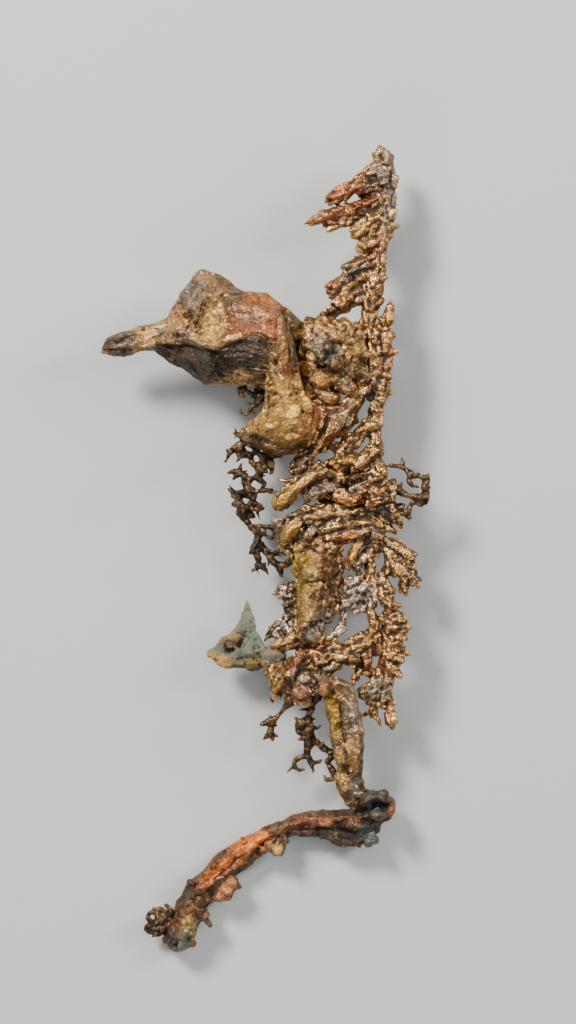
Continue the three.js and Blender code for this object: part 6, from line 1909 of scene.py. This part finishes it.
class COPPER_OT_foot(bpy.types.Operator):
    """Shape the long bent foot with its scabs and crystals"""

    bl_idname = "copper.foot"
    bl_label = "Foot"

    def execute(self, context):
        pile = Pile("foot_scabs")
        for route in FOOT_ROUTES:
            pile.cob(route, kernel=1.5, long=0.7)
        places, ways, widths, lengths = (np.array(part, float) for part in zip(*FOOT_CRYSTALS))
        pile.add("block", places * MM, ways, widths * MM, lengths * MM)
        parts = [core_of("foot", -0.1), new_object(pile.name, pile.mesh())]
        piece = fuse("foot_grown", parts, sizes().massive_grain)
        smooth(piece, 1)
        scallops(piece, 3.2, 0.8)
        creases(piece, FOOT_CREASES)
        streaks(piece, FOOT_STREAKS)
        crystal_relief(piece, 0.45)
        finish_branch(piece, "foot", "rusty_copper", zones=FOOT_ZONES, wear_and_shading=0.5)
        return {"FINISHED"}


class COPPER_OT_wires(bpy.types.Operator):
    """Draw the curled wires, the feathery sprays and the hanging twigs"""

    bl_idname = "copper.wires"
    bl_label = "Wires and twigs"

    def execute(self, context):
        drawn_branch("outer_curls", "wiry_copper", CURL_ROUTES, thorns=0.05)
        drawn_branch("left_twig", "wiry_copper", LEFT_TWIG_ROUTES)
        drawn_branch("middle_twig", "wiry_copper", MIDDLE_TWIG_ROUTES, thorns=0.05)
        drawn_branch("left_spray", "dark_wiry_copper", SPRAY_ROUTES, thorns=0.12)
        drawn_branch("neck_spray", "dark_wiry_copper", THROAT_ROUTES, thorns=0.05)
        drawn_branch("toe_spray", "dark_wiry_copper", TOE_ROUTES, thorns=0.03)
        return {"FINISHED"}


class COPPER_OT_stage(bpy.types.Operator):
    """Lay the pale floor, the soft lights and the camera over the growth"""

    bl_idname = "copper.stage"
    bl_label = "Floor, lights and camera"

    def execute(self, context):
        lay_floor()
        hang_lights()
        set_camera()
        return {"FINISHED"}


# What the camera sees at the growth's height, and the camera's sensor and lens in millimetres
PICTURE_HEIGHT = 204.8 * MM
PICTURE_CENTRE = (4.4 * MM, 8.1 * MM, 12 * MM)
SENSOR = 36.0
LENS = 110.0
NEAREST = 0.01
FLOOR_COLOUR = (0.5, 0.51, 0.5, 1)
FLOOR_ROUGHNESS = 0.9
SKY_COLOUR = (0.85, 0.9, 0.95, 1)
SKY_STRENGTH = 0.22


def set_camera():
    camera = bpy.data.objects.new("camera", bpy.data.cameras.new("camera"))
    bpy.context.scene.collection.objects.link(camera)
    camera.data.sensor_width = SENSOR
    camera.data.lens = LENS
    camera.data.clip_start = NEAREST
    camera.location = Vector(PICTURE_CENTRE) + Vector((0, 0, PICTURE_HEIGHT * LENS / SENSOR))
    bpy.context.scene.camera = camera


def lay_floor():
    deselect_all()
    bpy.ops.mesh.primitive_plane_add(size=sizes().floor_size, location=(0, 0, LYING_PLANE))
    floor = bpy.context.object
    floor.name = "floor"
    bpy.ops.object.transform_apply(location=True)
    material = bpy.data.materials.new("pale_floor")
    material.use_nodes = True
    shader = material.node_tree.nodes["Principled BSDF"]
    shader.inputs["Base Color"].default_value = FLOOR_COLOUR
    shader.inputs["Roughness"].default_value = FLOOR_ROUGHNESS
    floor.data.materials.append(material)


# Each light is (name, place, sides, watts, colour), in metres.
LIGHTS = (
    ("key", (-0.42, 0.5, 0.62), (0.22, 0.22), 14, (1.0, 0.97, 0.92)),
    ("side", (0.55, 0.25, 0.42), (0.1, 0.4), 4, (1.0, 0.98, 0.95)),
    ("low", (-0.25, -0.6, 0.4), (0.5, 0.12), 1.8, (0.95, 0.98, 1.0)),
    ("top", (0.1, 0.15, 0.95), (0.5, 0.5), 2.5, (1.0, 1.0, 1.0)),
)


def hang_lights():
    for name, place, sides, watts, shade in LIGHTS:
        light = bpy.data.lights.new(name, "AREA")
        light.shape = "RECTANGLE"
        light.size, light.size_y = sides
        light.energy = watts
        light.color = shade
        lamp = bpy.data.objects.new(name, light)
        lamp.location = place
        towards = Vector(PICTURE_CENTRE) - Vector(place)
        lamp.rotation_euler = towards.to_track_quat("-Z", "Y").to_euler()
        bpy.context.scene.collection.objects.link(lamp)
    world = bpy.context.scene.world or bpy.data.worlds.new("world")
    bpy.context.scene.world = world
    world.use_nodes = True
    background = world.node_tree.nodes["Background"]
    background.inputs["Color"].default_value = SKY_COLOUR
    background.inputs["Strength"].default_value = SKY_STRENGTH


class COPPER_PT_growth(bpy.types.Panel):
    bl_label = "Native Copper Growth"
    bl_idname = "COPPER_PT_growth"
    bl_space_type = "VIEW_3D"
    bl_region_type = "UI"
    bl_category = "Copper"

    def draw(self, context):
        for operator in OPERATORS:
            self.layout.operator(operator.bl_idname)
        for group in (context.scene.copper_sizes, context.scene.copper_colours):
            for name in group.bl_rna.properties.keys():
                if name not in ("rna_type", "name"):
                    self.layout.prop(group, name)


OPERATORS = (
    COPPER_OT_heavy_lobe, COPPER_OT_knobs, COPPER_OT_beaded_branches, COPPER_OT_ferns,
    COPPER_OT_bright_clusters, COPPER_OT_rib, COPPER_OT_green_lobe, COPPER_OT_hip_and_leg,
    COPPER_OT_foot, COPPER_OT_wires, COPPER_OT_stage,
)
CLASSES = (CopperSizes, CopperColours, *OPERATORS, COPPER_PT_growth)


def register():
    for cls in CLASSES:
        bpy.utils.register_class(cls)
    bpy.types.Scene.copper_sizes = bpy.props.PointerProperty(type=CopperSizes)
    bpy.types.Scene.copper_colours = bpy.props.PointerProperty(type=CopperColours)


def unregister():
    del bpy.types.Scene.copper_sizes
    del bpy.types.Scene.copper_colours
    for cls in reversed(CLASSES):
        bpy.utils.unregister_class(cls)


def main():
    register()
    for operator in OPERATORS:
        group, name = operator.bl_idname.split(".")
        getattr(getattr(bpy.ops, group), name)()


if __name__ == "__main__":
    main()
